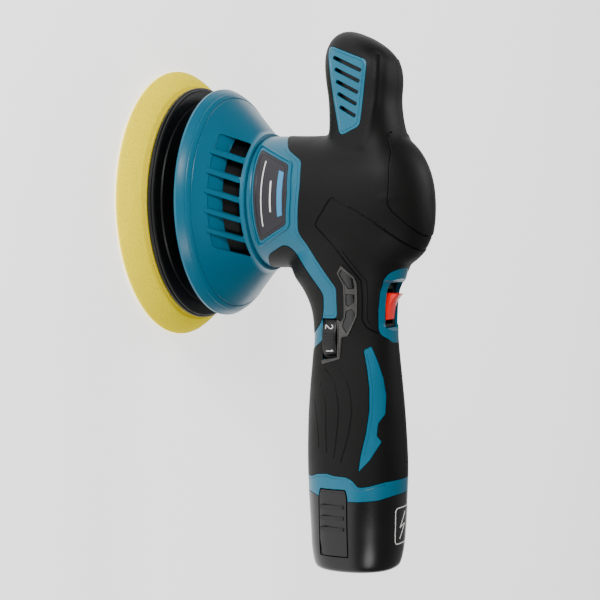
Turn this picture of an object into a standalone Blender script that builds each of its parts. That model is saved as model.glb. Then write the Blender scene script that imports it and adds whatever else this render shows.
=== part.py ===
"""Cordless dual action polisher: a 12 V tool that stands on its round pad.

Frame: the motor's axis is Z, with the origin where it meets the pad's working face.
The handle and battery run along +X, the front horn along -X, and the left side is -Y.
Lengths are written in millimetres and turned to metres by the helper functions.
"""

import math

import bmesh
import bpy
from mathutils import Matrix, Vector

MM = 0.001
NAME = "dual_action_polisher"

# Clearances and walls
GAP = 0.3                # between any two pieces that touch
LAYER = 2.0              # thickness of the soft grip layer and of the raised trims
WALL = 4.5               # skin to the inside of the hard housing
SPLIT = 0.15             # half the gap between the left and right halves
RING_SIDES = 16          # sides of every lofted section

# Heights along the motor axis
PAD_TOP = 13.5
LOOP_TOP = 15.7
PLATE_BOTTOM = 16.0
PLATE_TOP = 30.0
HOUSING_BOTTOM = 69.3
PLATE_SEAT = 75.7        # upper face of the motor's mounting plate
MOTOR_FACE = 76.0
MOTOR_TOP = 138.0

# Radii
PAD_RADIUS = 85.0
PLATE_RADIUS = 74.0
MOTOR_RADIUS = 21.0
SHAFT_RADIUS = 2.5
ORBIT = 4.0              # the pad's axis stands this far from the motor's, toward +Y
FAN_RADIUS = 28.0
SHROUD_SCREW_CIRCLE = 32.0

# Shroud vents: place of the first along X, their spacing and their width
VENT_START = -40.6
VENT_PITCH = 12.1
VENT_WIDTH = 9.3

# Handle and battery
STEM_START = 125.0
CELL_RADIUS = 9.2
CELL_LENGTH = 65.0
STEM_CENTRE_Z = 126.3

# Switch and dial
ROCKER_PIVOT = (65.0, 0.0, 143.0)
SWITCH_ROOM = ((50.2, -10.6, 120), (78, 10.6, 170))
DIAL_CENTRE = (84.0, -4.8, 116.4)
DIAL_RADIUS = 18.6
DIAL_WIDTH = 9.2

# Axes of the drive and of the battery's latch
MOTOR_AXIS = (0.0, 0.0, 0.0)
LATCH_HINGE = (216.0, -25.5, 120.6)

# Sections of the outer skin: place, centre, half size across, half size in Y, squareness
HEAD = [
    (56, 0, 41.5, 41.5, 2.0), (80, 0, 41.5, 41, 2.0), (94, 0.5, 41.5, 40, 2.1),
    (108, 1, 42, 38.8, 2.2), (124, 1.5, 43.5, 37, 2.35), (140, 1.5, 44, 34.5, 2.4),
    (152, 1, 42, 31, 2.4), (161, 1.5, 36.5, 26, 2.4), (168, 3, 29, 20, 2.3),
    (172.5, 4.5, 20, 13, 2.2), (174.6, 5, 9, 6, 2.0),
]
HANDLE = [
    (16, 122, 38, 35, 2.3), (34, 121.2, 37.5, 33, 2.3), (46, 121.4, 35, 30, 2.3),
    (54, 122.8, 31, 27, 2.3), (62, 124, 28.2, 24.6, 2.3), (70, 124.8, 26.8, 22.8, 2.3),
    (80, 125.2, 26.4, 21.5, 2.3), (90, 125.3, 26.8, 21.6, 2.3), (118, 125.5, 29.2, 24.6, 2.3),
    (138, 125.8, 30.4, 26.4, 2.3), (165, 126.4, 30.9, 28.2, 2.3), (192, 126.6, 29.6, 28.4, 2.3),
]
HORN = [
    (0, 139, 33, 33, 2.3), (-14, 138, 30, 31.5, 2.4), (-30, 135.5, 25.5, 28.5, 2.6),
    (-44, 133.2, 21.5, 25.8, 2.8), (-60, 131.8, 20.3, 24.2, 3.0), (-74, 131.2, 21.8, 23.8, 3.0),
    (-84, 130, 21.6, 23, 2.9), (-92, 127.6, 18.8, 20.6, 2.7), (-98.5, 124.6, 13.6, 15.6, 2.5),
    (-102.5, 122.2, 7.8, 9.8, 2.2), (-104.4, 121.2, 3, 4, 2.0),
]
CUP = [
    (178, 126.5, 30.4, 28.6, 2.3), (192, 126.6, 29.6, 28.4, 2.3), (202, 126.6, 29, 28, 2.3),
    (215, 126.4, 28.2, 27, 2.3), (224, 126.2, 26.5, 25.3, 2.3), (228, 126, 22, 21, 2.2),
]
ROUND_OFF = {"head": (152, 174.6), "horn": (-84, -104.4)}

# Side outlines, as (X, Z) seen from the left
TRIM = [
    (-60, 60), (-38, 86), (-31, 91.5), (-24, 102.7), (-10, 104), (4, 103), (19.5, 101.7),
    (24.5, 104.3), (40, 114.5), (53.5, 123), (59, 122.2), (72, 121.4), (72, 111.6),
    (84.5, 110.6), (86.5, 109), (90.5, 103), (96, 92), (86, 92), (81, 103), (75, 109.6),
    (69, 112), (57.5, 113.8), (49, 108.5), (34, 98.1), (28, 93.8), (27, 89.3), (33, 76.6),
    (37, 73.6), (46, 66), (46, 60),
]
NECK_PATCH = [
    (28, 93.8), (27, 89.3), (33, 76.6), (37, 73.6), (46, 66), (46, 60), (88, 60), (86, 92),
    (81, 103), (75, 109.6), (69, 112), (57.5, 113.8), (49, 108.5), (34, 98.1),
]
INLAY = [
    (91.2, 138.1), (88.8, 142.2), (98, 145.8), (108, 148.8), (118.5, 150.5), (130, 150.6),
    (135.6, 147.4), (143, 146.9), (146.6, 149.5), (157.5, 143.7), (164.6, 137.5),
    (155, 138.6), (142, 141.2), (128, 142.7), (114.6, 142.2), (103, 140.6),
]
LABEL = [(-31.5, 73.2), (-21.6, 94.6), (-3.6, 95.8), (14.6, 94.2), (24.6, 75), (2.2, 74.4)]
GAUGE = [
    (39.5, 128.2), (46.2, 135.5), (50.4, 136.6), (70, 134.8), (75.7, 132), (82.5, 128.6),
    (83.6, 124.4), (96.6, 123.6), (100.4, 110.8), (97.6, 110.6), (95.9, 121.7), (72.4, 121.7),
    (74, 124), (71.6, 126.4), (51.2, 128.2), (44.2, 125.2),
]
LENSES = [
    [(42.3, 128.3), (47.6, 134.5), (53.2, 134.6), (53.6, 131), (50, 129.4), (45, 126.6)],
    [(57, 129.3), (57.4, 134.2), (61.7, 133.6), (64.4, 129.6), (63, 128.7)],
    [(67.4, 128.5), (66.2, 132), (69, 133.6), (73, 132), (80.6, 127.5), (76.6, 125.2), (72.8, 126.8)],
]
DIAL_WINDOW = [(72, 110.7), (72, 121.7), (95.6, 121.7), (97.2, 111)]
GRILLE = [
    (-92.6, 114.1), (-94.2, 116.4), (-84.4, 140.9), (-79, 140.9), (-44.6, 137.8), (-39.4, 126.8),
    (-41, 124.4), (-61.3, 119.5), (-82, 116),
]
BEZEL = [
    (40, 160), (42.4, 156), (44.5, 153), (49.2, 149.9), (55.4, 147.3), (66, 146.2),
    (78.6, 145.9), (82.2, 147.3), (84.5, 150.2), (88, 152), (88, 160),
]
SADDLE = [(46, 161), (48.3, 154.7), (50, 152.4), (54, 150.1), (63, 148.9), (76, 148.4),
          (78, 149.6), (81, 152.6), (84, 161)]
BAND = [
    (169.7, 80), (169.7, 104.3), (167.6, 109), (166.8, 116.5), (168, 122), (168.2, 129.5),
    (170, 133.5), (174.4, 137.4), (173.7, 143.2), (171.2, 152), (169.6, 170), (179.3, 170),
    (179.6, 156), (182.1, 148.3), (183, 137.4), (182.8, 120), (181, 111), (179.2, 104.2), (179, 80),
]
LATCH = [(176.6, 112.2), (176.6, 129), (180.6, 130), (217, 130), (217, 111.2), (180.6, 111.2)]


# ---------------------------------------------------------------- helpers

def new_collection(name):
    collection = bpy.data.collections.new(name)
    bpy.context.scene.collection.children.link(collection)
    return collection


def add_object(name, data, collection):
    obj = bpy.data.objects.new(name, data)
    collection.objects.link(obj)
    return obj


def as_cutter(obj):
    obj.hide_render = True
    obj.display_type = "WIRE"
    return obj


def bake(obj):
    """Turn an object's modifiers, or a curve, into a plain mesh."""
    depsgraph = bpy.context.evaluated_depsgraph_get()
    mesh = bpy.data.meshes.new_from_object(obj.evaluated_get(depsgraph))
    if obj.type == "MESH":
        obj.modifiers.clear()
        obj.data = mesh
        return obj
    cleaned = bmesh.new()
    cleaned.from_mesh(mesh)
    bmesh.ops.remove_doubles(cleaned, verts=cleaned.verts, dist=0.00001)
    cleaned.to_mesh(mesh)
    cleaned.free()
    result = add_object(obj.name + "_mesh", mesh, obj.users_collection[0])
    result.matrix_world = obj.matrix_world.copy()
    name = obj.name
    bpy.data.objects.remove(obj)
    result.name = name
    return as_cutter(result)


def combine(target, tool, operation):
    """A Boolean on closed solids. EXACT loses faces where the lofted skins graze each other."""
    modifier = target.modifiers.new(operation.lower(), "BOOLEAN")
    modifier.operation = operation
    modifier.object = tool
    modifier.solver = "MANIFOLD"
    bake(target)
    return target


def cut(target, *tools):
    for tool in tools:
        combine(target, tool, "DIFFERENCE")
    return target


def join(target, *tools):
    for tool in tools:
        combine(target, tool, "UNION")
    return target


def keep(target, tool):
    return combine(target, tool, "INTERSECT")


def copy_of(source, name, collection):
    twin = add_object(name, source.data.copy(), collection)
    twin.matrix_world = source.matrix_world.copy()
    return twin


def set_origin(obj, point):
    """Put a piece's origin on its joint's axis without moving the piece."""
    bpy.context.view_layer.update()
    place = Matrix.Translation(Vector(point) * MM)
    obj.data.transform(place.inverted() @ obj.matrix_world)
    obj.matrix_world = place
    return obj


def superellipse(angle, across, wide, power):
    cosine, sine = math.cos(angle), math.sin(angle)
    return (across * math.copysign(abs(cosine) ** (2 / power), cosine),
            wide * math.copysign(abs(sine) ** (2 / power), sine))


def loft(name, sections, axis, collection, inset=0.0, round_off=None, phase=0.0):
    """A closed skin through superellipse sections that stand across the X or Z axis.

    phase turns the rings by that share of a side, so that joined skins share no edge.
    """
    shell = bmesh.new()
    rings = []
    for place, centre, across, wide, power in sections:
        if round_off:
            start, end = round_off
            share = min(max((place - start) / (end - start), 0.0), 1.0)
            place -= inset * share * math.copysign(1, end - start)
        ring = []
        for step in range(RING_SIDES):
            angle = 2 * math.pi * (step + phase) / RING_SIDES
            u, v = superellipse(angle, max(across - inset, 0.6), max(wide - inset, 0.6), power)
            spot = (centre + u, v, place) if axis == "Z" else (place, v, centre + u)
            ring.append(shell.verts.new(Vector(spot) * MM))
        rings.append(ring)
    for lower, upper in zip(rings, rings[1:]):
        for step in range(RING_SIDES):
            following = (step + 1) % RING_SIDES
            shell.faces.new((lower[step], lower[following], upper[following], upper[step]))
    shell.faces.new(rings[0])
    shell.faces.new(rings[-1])
    bmesh.ops.recalc_face_normals(shell, faces=shell.faces)
    mesh = bpy.data.meshes.new(name)
    shell.to_mesh(mesh)
    shell.free()
    return add_object(name, mesh, collection)


def turned(name, profile, collection, centre=(0, 0), sides=32):
    """A solid of revolution about Z; the profile is (radius, height) down its outer side."""
    mesh = bpy.data.meshes.new(name)
    line = bmesh.new()
    points = [line.verts.new((radius * MM, 0, height * MM)) for radius, height in profile]
    closed = profile[0][0] > 0
    pairs = list(zip(points, points[1:]))
    if closed:
        pairs.append((points[-1], points[0]))
    for first, second in pairs:
        line.edges.new((first, second))
    line.to_mesh(mesh)
    line.free()
    obj = add_object(name, mesh, collection)
    obj.location = (centre[0] * MM, centre[1] * MM, 0)
    screw = obj.modifiers.new("turn", "SCREW")
    screw.axis = "Z"
    screw.steps = sides
    screw.render_steps = sides
    screw.use_merge_vertices = True
    screw.merge_threshold = 0.00001
    screw.use_normal_calculate = False
    bpy.context.view_layer.update()
    return bake(obj)


def disc(name, radius, bottom, top, collection, centre=(0, 0), hole=0.0, sides=32):
    if hole:
        profile = [(radius, top), (radius, bottom), (hole, bottom), (hole, top)]
    else:
        profile = [(0, top), (radius, top), (radius, bottom), (0, bottom)]
    return turned(name, profile, collection, centre, sides)


def rod(name, radius, start, end, collection, sides=16):
    """A round bar between two points."""
    start, end = Vector(start) * MM, Vector(end) * MM
    shape = bmesh.new()
    turn = (end - start).to_track_quat("Z", "Y").to_matrix().to_4x4()
    place = Matrix.Translation((start + end) / 2) @ turn
    bmesh.ops.create_cone(shape, cap_ends=True, segments=sides, radius1=radius * MM,
                          radius2=radius * MM, depth=(end - start).length, matrix=place)
    mesh = bpy.data.meshes.new(name)
    shape.to_mesh(mesh)
    shape.free()
    return add_object(name, mesh, collection)


def block(name, low, high, collection):
    low, high = Vector(low) * MM, Vector(high) * MM
    shape = bmesh.new()
    bmesh.ops.create_cube(shape, size=1.0, matrix=Matrix.Translation((low + high) / 2)
                          @ Matrix.Diagonal((*(high - low), 1.0)))
    mesh = bpy.data.meshes.new(name)
    shape.to_mesh(mesh)
    shape.free()
    return add_object(name, mesh, collection)


def grown(outline, amount):
    """The outline moved out by amount, with mitred corners."""
    area = sum(a[0] * b[1] - b[0] * a[1] for a, b in zip(outline, outline[1:] + outline[:1]))
    side = math.copysign(1, area)
    result = []
    count = len(outline)
    for index in range(count):
        before = Vector(outline[index - 1])
        here = Vector(outline[index])
        after = Vector(outline[(index + 1) % count])
        first = (here - before).normalized()
        second = (after - here).normalized()
        outward = Vector((first.y, -first.x)) * side + Vector((second.y, -second.x)) * side
        outward.normalize()
        reach = amount / max(outward.dot(Vector((first.y, -first.x)) * side), 0.35)
        result.append(tuple(here + outward * reach))
    return result


def prism(name, outline, near, far, collection):
    """An (X, Z) outline run along Y from near to far."""
    curve = bpy.data.curves.new(name, "CURVE")
    curve.dimensions = "2D"
    curve.fill_mode = "BOTH"
    curve.extrude = abs(far - near) / 2 * MM
    spline = curve.splines.new("POLY")
    spline.points.add(len(outline) - 1)
    for point, (x, z) in zip(spline.points, outline):
        point.co = (x * MM, z * MM, 0, 1)
    spline.use_cyclic_u = True
    obj = add_object(name, curve, collection)
    obj.rotation_euler = (math.radians(90), 0, 0)
    obj.location = (0, (near + far) / 2 * MM, 0)
    bpy.context.view_layer.update()
    return bake(obj)


def material(name, colour, roughness, metallic=0.0):
    made = bpy.data.materials.new(name)
    made.use_nodes = True
    shader = made.node_tree.nodes["Principled BSDF"]
    shader.inputs["Base Color"].default_value = (*colour, 1.0)
    shader.inputs["Roughness"].default_value = roughness
    shader.inputs["Metallic"].default_value = metallic
    return made


def finish(obj, colour, roughness, metallic=0.0, smooth_angle=35):
    """Give a finished piece its own material and shading."""
    obj.data.materials.clear()
    obj.data.materials.append(material(obj.name, colour, roughness, metallic))
    obj.data.shade_smooth()
    obj.data.set_sharp_from_angle(angle=math.radians(smooth_angle))
    obj.hide_render = False
    obj.display_type = "TEXTURED"
    return obj


TEAL = (0.01, 0.19, 0.29)
RUBBER = (0.012, 0.012, 0.011)
BLACK = (0.008, 0.008, 0.007)
GREY = (0.06, 0.06, 0.06)
YELLOW = (0.9, 0.83, 0.0)
STEEL = (0.55, 0.55, 0.56)
BRASS = (0.55, 0.42, 0.16)
IRON = (0.09, 0.085, 0.08)
COPPER = (0.7, 0.3, 0.14)
BOARD = (0.02, 0.14, 0.05)
RED = (0.8, 0.02, 0.01)


# ---------------------------------------------------------------- skins and housing

def skin(name, inset, tools):
    """The tool's whole outer form, moved in by inset."""
    form = loft(name, HEAD, "Z", tools, inset, ROUND_OFF["head"])
    handle = loft(name + "_handle", HANDLE, "X", tools, inset, phase=0.5)
    horn = loft(name + "_horn", HORN, "X", tools, inset, ROUND_OFF["horn"], phase=0.5)
    join(form, handle, horn)
    for part in (handle, horn):
        bpy.data.objects.remove(part)
    return as_cutter(form)


def side_band(name, outline, outer, inner, near, far, collection, grow=0.0):
    """The part of the skin between two layers that lies inside a side outline."""
    piece = prism(name, grown(outline, grow) if grow else outline, near, far, collection)
    keep(piece, outer)
    return cut(piece, inner)


SCREW_SPOTS = [(-33, 112), (38, 128), (3, 159), (-60, 145.6), (108.5, 113)]


def build_housing(parts, tools, skins):
    below = as_cutter(block("below_housing", (-80, -80, 30), (80, 80, HOUSING_BOTTOM), tools))
    beyond = as_cutter(prism("beyond_band", grown(BAND, GAP), -60, 60, tools))
    far_end = as_cutter(block("past_handle", (176, -60, 60), (230, 60, 200), tools))
    trims = prism("trim_shape", TRIM, -60, 60, tools)
    inlays = prism("inlay_shape", INLAY, -60, 60, tools)
    hard = copy_of(skins["core"], "hard_shell", tools)
    for shape in (trims, inlays):
        raised = copy_of(shape, shape.name + "_raised", tools)
        keep(raised, skins["outer"])
        join(hard, raised)
        bpy.data.objects.remove(raised)
    cut(hard, skins["inside"])
    bezel_hole = prism("bezel_hole", grown(BEZEL, GAP), -40, 40, tools)
    switch_room = block("switch_room", *SWITCH_ROOM, tools)
    window = prism("dial_window", DIAL_WINDOW, -40, -8, tools)
    dial_room = disc("dial_room", DIAL_RADIUS + 1, DIAL_CENTRE[2] - DIAL_WIDTH / 2 - 0.4,
                     DIAL_CENTRE[2] + DIAL_WIDTH / 2 + 0.4, tools, DIAL_CENTRE[:2])
    frame_room = prism("frame_room", grown(GAUGE, GAP), -60, 0, tools)
    keep(frame_room, skins["proud"])
    cut(frame_room, skins["seat"])
    label_room = {}
    grille_room = {}
    for side, sign in (("left", -1), ("right", 1)):
        near, far = sorted((sign * 60, sign * 2))
        label_room[side] = side_band("label_room_" + side, LABEL, skins["proud"],
                                     skins["label_seat"], near, far, tools, GAP)
        grille_room[side] = side_band("grille_room_" + side, GRILLE, skins["proud"],
                                      skins["seat"], near, far, tools, GAP)
    soft = copy_of(skins["outer"], "soft_layer", tools)
    cut(soft, skins["soft_inside"])
    for shape, outline in ((trims, TRIM), (inlays, INLAY)):
        cut(soft, prism(shape.name + "_room", grown(outline, GAP), -60, 60, tools))
    for piece in (hard, soft):
        cut(piece, below, beyond, far_end, bezel_hole, switch_room, window, dial_room, frame_room,
            label_room["left"], label_room["right"], grille_room["left"], grille_room["right"])
    for index, (x, z) in enumerate(SCREW_SPOTS):
        post = rod(f"screw_post_{index}", 4.0, (x, -60, z), (x, 60, z), tools, 10)
        keep(post, skins["post_end"])
        join(hard, post)
        cut(hard, rod(f"screw_pilot_{index}", 1.8, (x, -9, z), (x, 60, z), tools, 8),
            rod(f"screw_sink_{index}", 3.2, (x, 9, z), (x, 60, z), tools, 10))
        cut(soft, rod(f"screw_mouth_{index}", 3.2, (x, 9, z), (x, 60, z), tools, 10))
    patch = prism("neck_patch", NECK_PATCH, -60, 60, tools)
    neck_grip = copy_of(soft, "neck_grip", parts)
    finish(keep(neck_grip, patch), RUBBER, 0.62)
    cut(soft, patch)
    halves = {"left": block("keep_left", (-120, -70, 0), (240, -SPLIT, 200), tools),
              "right": block("keep_right", (-120, SPLIT, 0), (240, 70, 200), tools)}
    for side, half in halves.items():
        shell = copy_of(hard, "housing_" + side, parts)
        finish(keep(shell, half), TEAL, 0.42)
        grip = copy_of(soft, "grip_" + side, parts)
        finish(keep(grip, half), RUBBER, 0.62)


def build_side_pieces(parts, tools, skins):
    """Label plates, horn inserts and the control frame with its lenses."""
    for side, sign in (("left", -1), ("right", 1)):
        near, far = sorted((sign * 60, sign * 2))
        label = side_band("label_" + side, LABEL, skins["label_face"], skins["label_back"],
                          near, far, parts)
        finish(label, GREY, 0.45)
        grille = side_band("horn_grille_" + side, GRILLE, skins["outer"], skins["soft_inside"],
                           near, far, parts)
        for index in range(5):
            foot = Vector((-86.6 + 7.3 * index, 119.6 + 1.3 * index))
            tip = foot + Vector((0.43, 0.9)) * (18.2 - 2.3 * index)
            across = Vector((1.1, -0.52))
            slot = [foot - across, tip - across, tip + across, foot + across]
            cut(grille, prism(f"grille_slot_{side}_{index}", slot, near, far, tools))
        finish(grille, TEAL, 0.42)
    frame = side_band("control_frame", GAUGE, skins["proud"], skins["soft_inside"], -60, -2, parts)
    for index, outline in enumerate(LENSES):
        cut(frame, prism(f"lens_room_{index}", grown(outline, GAP), -60, -2, tools))
        lens = side_band("gauge_lens_" + ("upper", "middle", "lower")[index], outline,
                         skins["outer"], skins["soft_inside"], -60, -2, parts)
        finish(lens, BLACK, 0.1)
    finish(frame, GREY, 0.4)


# ---------------------------------------------------------------- shroud, pad and drive

SHROUD_OUTSIDE = [(42, 69), (43.6, 66), (53.8, 56), (64.5, 46), (68.5, 42.5), (71, 39), (72, 36)]
SHROUD_INSIDE = [(69.6, 36), (68.4, 38.5), (66, 41.2), (62.3, 44.2), (51.4, 54.5), (41.4, 64.2),
                 (40, 66), (28, 66), (28, 69)]


def build_shroud(parts, tools):
    shroud = turned("shroud", SHROUD_OUTSIDE + SHROUD_INSIDE, parts, sides=28)
    for sign in (-1, 1):
        near, far = sorted((sign * 75, sign * 18))
        for index in range(6):
            x = VENT_START + VENT_PITCH * index
            vent = [(x, 54), (x + VENT_WIDTH, 54), (x + VENT_WIDTH + 4.7, 64.8), (x + 4.7, 64.8)]
            cut(shroud, prism(f"vent_{sign}_{index}", vent, near, far, tools))
    for x, y in ring_spots(3, SHROUD_SCREW_CIRCLE, 60):
        cut(shroud, rod("shroud_hole", 1.9, (x, y, 60), (x, y, 72), tools))
    finish(shroud, TEAL, 0.42)


def ring_spots(count, radius, first_angle):
    for index in range(count):
        angle = math.radians(first_angle + 360 * index / count)
        yield radius * math.cos(angle), radius * math.sin(angle)


def screw_set(name, spots, head, shank, levels, parts):
    """Identical screws standing along Z: levels are head bottom, head top and tip."""
    bottom, top, tip = levels
    profile = [(0, tip), (shank, tip), (shank, top), (head, top), (head, bottom), (0, bottom)]
    for index, spot in enumerate(spots):
        screw = turned(f"{name}_{index + 1}", profile, parts, spot, sides=10)
        finish(screw, STEEL, 0.35, 1.0)


def build_pad(parts, tools):
    centre = (0, ORBIT)
    foam = [(0, PAD_TOP), (75, PAD_TOP), (79, 9.5), (83.4, 4.6), (PAD_RADIUS, 2.2), (84.4, 0.7),
            (82.5, 0), (0, 0)]
    finish(turned("foam_pad", foam, parts, centre, 32), YELLOW, 0.9)
    finish(disc("loop_disc", 73.5, PAD_TOP + GAP, LOOP_TOP, parts, centre, sides=32), YELLOW, 0.95)
    plate = [(14, PLATE_TOP), (21, PLATE_TOP), (22.5, 27.5), (46, 23.5), (68, 21), (72.6, 20.4),
             (PLATE_RADIUS, 18.6), (PLATE_RADIUS, 17.2), (73, PLATE_BOTTOM), (7.5, PLATE_BOTTOM),
             (7.5, 22), (3.6, 22), (3.6, PLATE_TOP)]
    finish(turned("backing_plate", plate, parts, centre, 32), BLACK, 0.5)
    spindle = [(0, 43), (5.85, 43), (5.85, 33.3), (11, 33.3), (11, 30.3), (3.3, 30.3),
               (3.3, 40.5), (0, 40.5)]
    finish(turned("pad_spindle", spindle, parts, centre, 16), STEEL, 0.3, 1.0)
    bolt = [(0, 40), (2.9, 40), (2.9, 21.7), (6.5, 21.7), (6.5, 17.7), (0, 17.7)]
    finish(turned("pad_bolt", bolt, parts, centre, 16), STEEL, 0.35, 1.0)
    finish(disc("bearing_inner", 8.6, 33.6, 43, parts, centre, 6.15, 24), STEEL, 0.2, 1.0)


def build_drive(parts, tools):
    race = disc("bearing_outer", 15.9, 33.6, 43, parts, (0, ORBIT), 11.9, 28)
    finish(set_origin(race, MOTOR_AXIS), STEEL, 0.2, 1.0)
    balls = disc("bearing_balls", 10.7, 37.7, 38.9, parts, (0, ORBIT), 9.8, 14)
    for x, y in ring_spots(7, 10.25, 0):
        shape = bmesh.new()
        bmesh.ops.create_uvsphere(shape, u_segments=6, v_segments=3, radius=1.4 * MM,
                                  matrix=Matrix.Translation(Vector((x, y + ORBIT, 38.3)) * MM))
        mesh = bpy.data.meshes.new("ball")
        shape.to_mesh(mesh)
        shape.free()
        join(balls, add_object("ball", mesh, tools))
    finish(set_origin(balls, MOTOR_AXIS), STEEL, 0.15, 1.0)
    weight = disc("counterweight", 20, 32.6, 47, parts, (0, ORBIT), sides=24)
    join(weight, disc("weight_disc", 24, 45.5, 51, tools, sides=24),
         disc("weight_hub", 8, 50, 56, tools, sides=16))
    lobe = disc("weight_lobe", 37, 39, 51, tools, sides=24)
    cut(lobe, block("lobe_cut", (-60, -12, 30), (60, 60, 60), tools))
    join(weight, lobe)
    cut(weight, disc("bearing_seat", 16.2, 20, 43.3, tools, (0, ORBIT), sides=24),
        disc("spindle_room", 8, 40, 45, tools, (0, ORBIT), sides=16),
        disc("shaft_bore", SHAFT_RADIUS + GAP, 44, 60, tools, sides=16),
        rod("grub_hole", 2.0, (2, 0, 53.4), (12, 0, 53.4), tools, 12))
    finish(set_origin(weight, MOTOR_AXIS), IRON, 0.5, 1.0)
    finish(rod("grub_screw", 1.7, (3.2, 0, 53.4), (7.6, 0, 53.4), parts, 12), STEEL, 0.4, 1.0)
    fan = disc("cooling_fan", 8.5, 56.3, 66, parts, sides=24)
    join(fan, disc("fan_back", FAN_RADIUS, 64, 65.8, tools, sides=28))
    for index in range(7):
        blade = block(f"fan_blade_{index}", (6.5, -0.8, 57.1), (FAN_RADIUS - 2, 0.8, 64.9), tools)
        blade.matrix_world = (Matrix.Rotation(2 * math.pi * index / 7, 4, "Z")
                              @ Matrix.Translation((0, -4 * MM, 0))
                              @ Matrix.Rotation(math.radians(12), 4, "Z"))
        bpy.context.view_layer.update()
        join(fan, blade)
    cut(fan, disc("fan_bore", SHAFT_RADIUS + GAP, 50, 70, tools, sides=16))
    finish(fan, BLACK, 0.5)
    finish(disc("motor_shaft", SHAFT_RADIUS, 50.5, 134, parts, sides=16), STEEL, 0.25, 1.0)
    core = disc("armature", 15.5, 86, 122, parts, hole=SHAFT_RADIUS + GAP, sides=24)
    for x, y in ring_spots(5, 15.5, 0):
        cut(core, rod("winding_slot", 2.2, (x, y, 80), (x, y, 130), tools, 8))
    finish(core, COPPER, 0.4, 1.0)


def build_motor(parts, tools):
    hole = SHAFT_RADIUS + 0.4
    can = [(MOTOR_RADIUS, MOTOR_TOP), (MOTOR_RADIUS, MOTOR_FACE), (8.4, MOTOR_FACE), (8.4, 71.5),
           (hole, 71.5), (hole, MOTOR_FACE + 2), (MOTOR_RADIUS - 1.6, MOTOR_FACE + 2),
           (MOTOR_RADIUS - 1.6, MOTOR_TOP)]
    body = turned("motor_can", can, parts, sides=20)
    plate = disc("motor_plate", 35.8, HOUSING_BOTTOM, PLATE_SEAT, parts, hole=8.8, sides=24)
    for x in (-14.5, 14.5):
        shank = rod("motor_screw_hole", 1.7, (x, 0, 60), (x, 0, 82), tools, 12)
        cut(body, shank)
        cut(plate, shank)
    for x, y in ring_spots(3, SHROUD_SCREW_CIRCLE, 60):
        cut(plate, rod("plate_hole", 1.9, (x, y, 60), (x, y, 73.5), tools, 12))
    cut(plate, *[block("air_slot", (x - 3, y - 3, 60), (x + 3, y + 3, 80), tools)
                 for x, y in ring_spots(4, 23, 45)])
    finish(plate, STEEL, 0.4, 1.0)
    cap = [(0, 148), (8, 148), (9, 144), (19.5, 144), (MOTOR_RADIUS, 142), (MOTOR_RADIUS, MOTOR_TOP + GAP),
           (19, MOTOR_TOP + GAP), (19, 131), (16.5, 131), (16.5, 139.5), (4, 139.5), (4, 134),
           (SHAFT_RADIUS + GAP, 134), (SHAFT_RADIUS + GAP, 141), (0, 141)]
    finish(turned("motor_end_cap", cap, parts, sides=20), BLACK, 0.5)
    finish(body, STEEL, 0.35, 1.0)
    screw_set("motor_screw", [(-14.5, 0), (14.5, 0)], 2.7, 1.4, (66.8, 69.0, 80), parts)
    screw_set("shroud_screw", list(ring_spots(3, SHROUD_SCREW_CIRCLE, 60)), 2.9, 1.6, (63.3, 65.7, 73), parts)


# ---------------------------------------------------------------- handle

def build_collar(parts, tools, skins):
    collar = prism("battery_collar", BAND, -60, 60, parts)
    keep(collar, skins["outer"])
    cut(collar, skins["inside"])
    cut(collar, prism("latch_notch", grown(LATCH, 0.8), -60, -15, tools))
    finish(collar, TEAL, 0.42)


def build_switch(parts, tools, skins):
    saddle = prism("saddle", SADDLE, -40, 40, tools)
    bezel = prism("switch_bezel", BEZEL, -40, 40, parts)
    keep(bezel, skins["outer"])
    cut(bezel, saddle, block("bezel_pocket", *SWITCH_ROOM, tools))
    finish(bezel, TEAL, 0.42)
    body = block("switch_body", (52, -8, 124), (76.5, 8, 146.2), parts)
    join(body, block("switch_flange", (50.6, -10.2, 144.6), (77.6, 10.2, 147.2), tools))
    cut(body, block("rocker_well", (54.2, -5.9, 135), (75.8, 5.9, 170), tools))
    finish(body, BLACK, 0.4)
    for index, x in enumerate((55.5, 61.5)):
        terminal = block(f"switch_terminal_{index + 1}", (x - 0.4, -2.4, 116),
                         (x + 0.4, 2.4, 123.7), parts)
        finish(terminal, BRASS, 0.3, 1.0)
    x, y, z = ROCKER_PIVOT
    shape = [(x - 7.9, z + 11.6), (x - 3.5, z + 8.2), (x + 1, z + 6.4), (x + 8, z + 5.4), (x + 8.6, z + 2),
             (x + 5, z - 3), (x, z - 4.5), (x - 5, z - 3), (x - 8.6, z + 2)]
    rocker = prism("switch_rocker", [(px - x, pz - z) for px, pz in shape], -5.5, 5.5, parts)
    rocker.location = Vector((x, y, z)) * MM
    finish(rocker, RED, 0.3)


def build_dial(parts, tools):
    x, y, z = DIAL_CENTRE
    low, high = z - DIAL_WIDTH / 2, z + DIAL_WIDTH / 2
    dial = [(DIAL_RADIUS - 0.6, high), (DIAL_RADIUS, high - 0.6), (DIAL_RADIUS, low + 0.6),
            (DIAL_RADIUS - 0.6, low), (3.3, low), (3.3, high)]
    finish(turned("speed_dial", dial, parts, (x, y), 24), BLACK, 0.35)
    knob_shaft = rod("pot_shaft", 3.0, (x, y, low), (x, y, 123), tools)
    pot = block("potentiometer", (x - 7, y - 7, high + 0.8), (x + 7, y + 9, 129.5), parts)
    finish(join(pot, knob_shaft), STEEL, 0.4, 1.0)
    board = block("control_board", (x - 6.5, -12, 129.8), (109, 12, 131.4), parts)
    finish(board, BOARD, 0.5)


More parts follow.
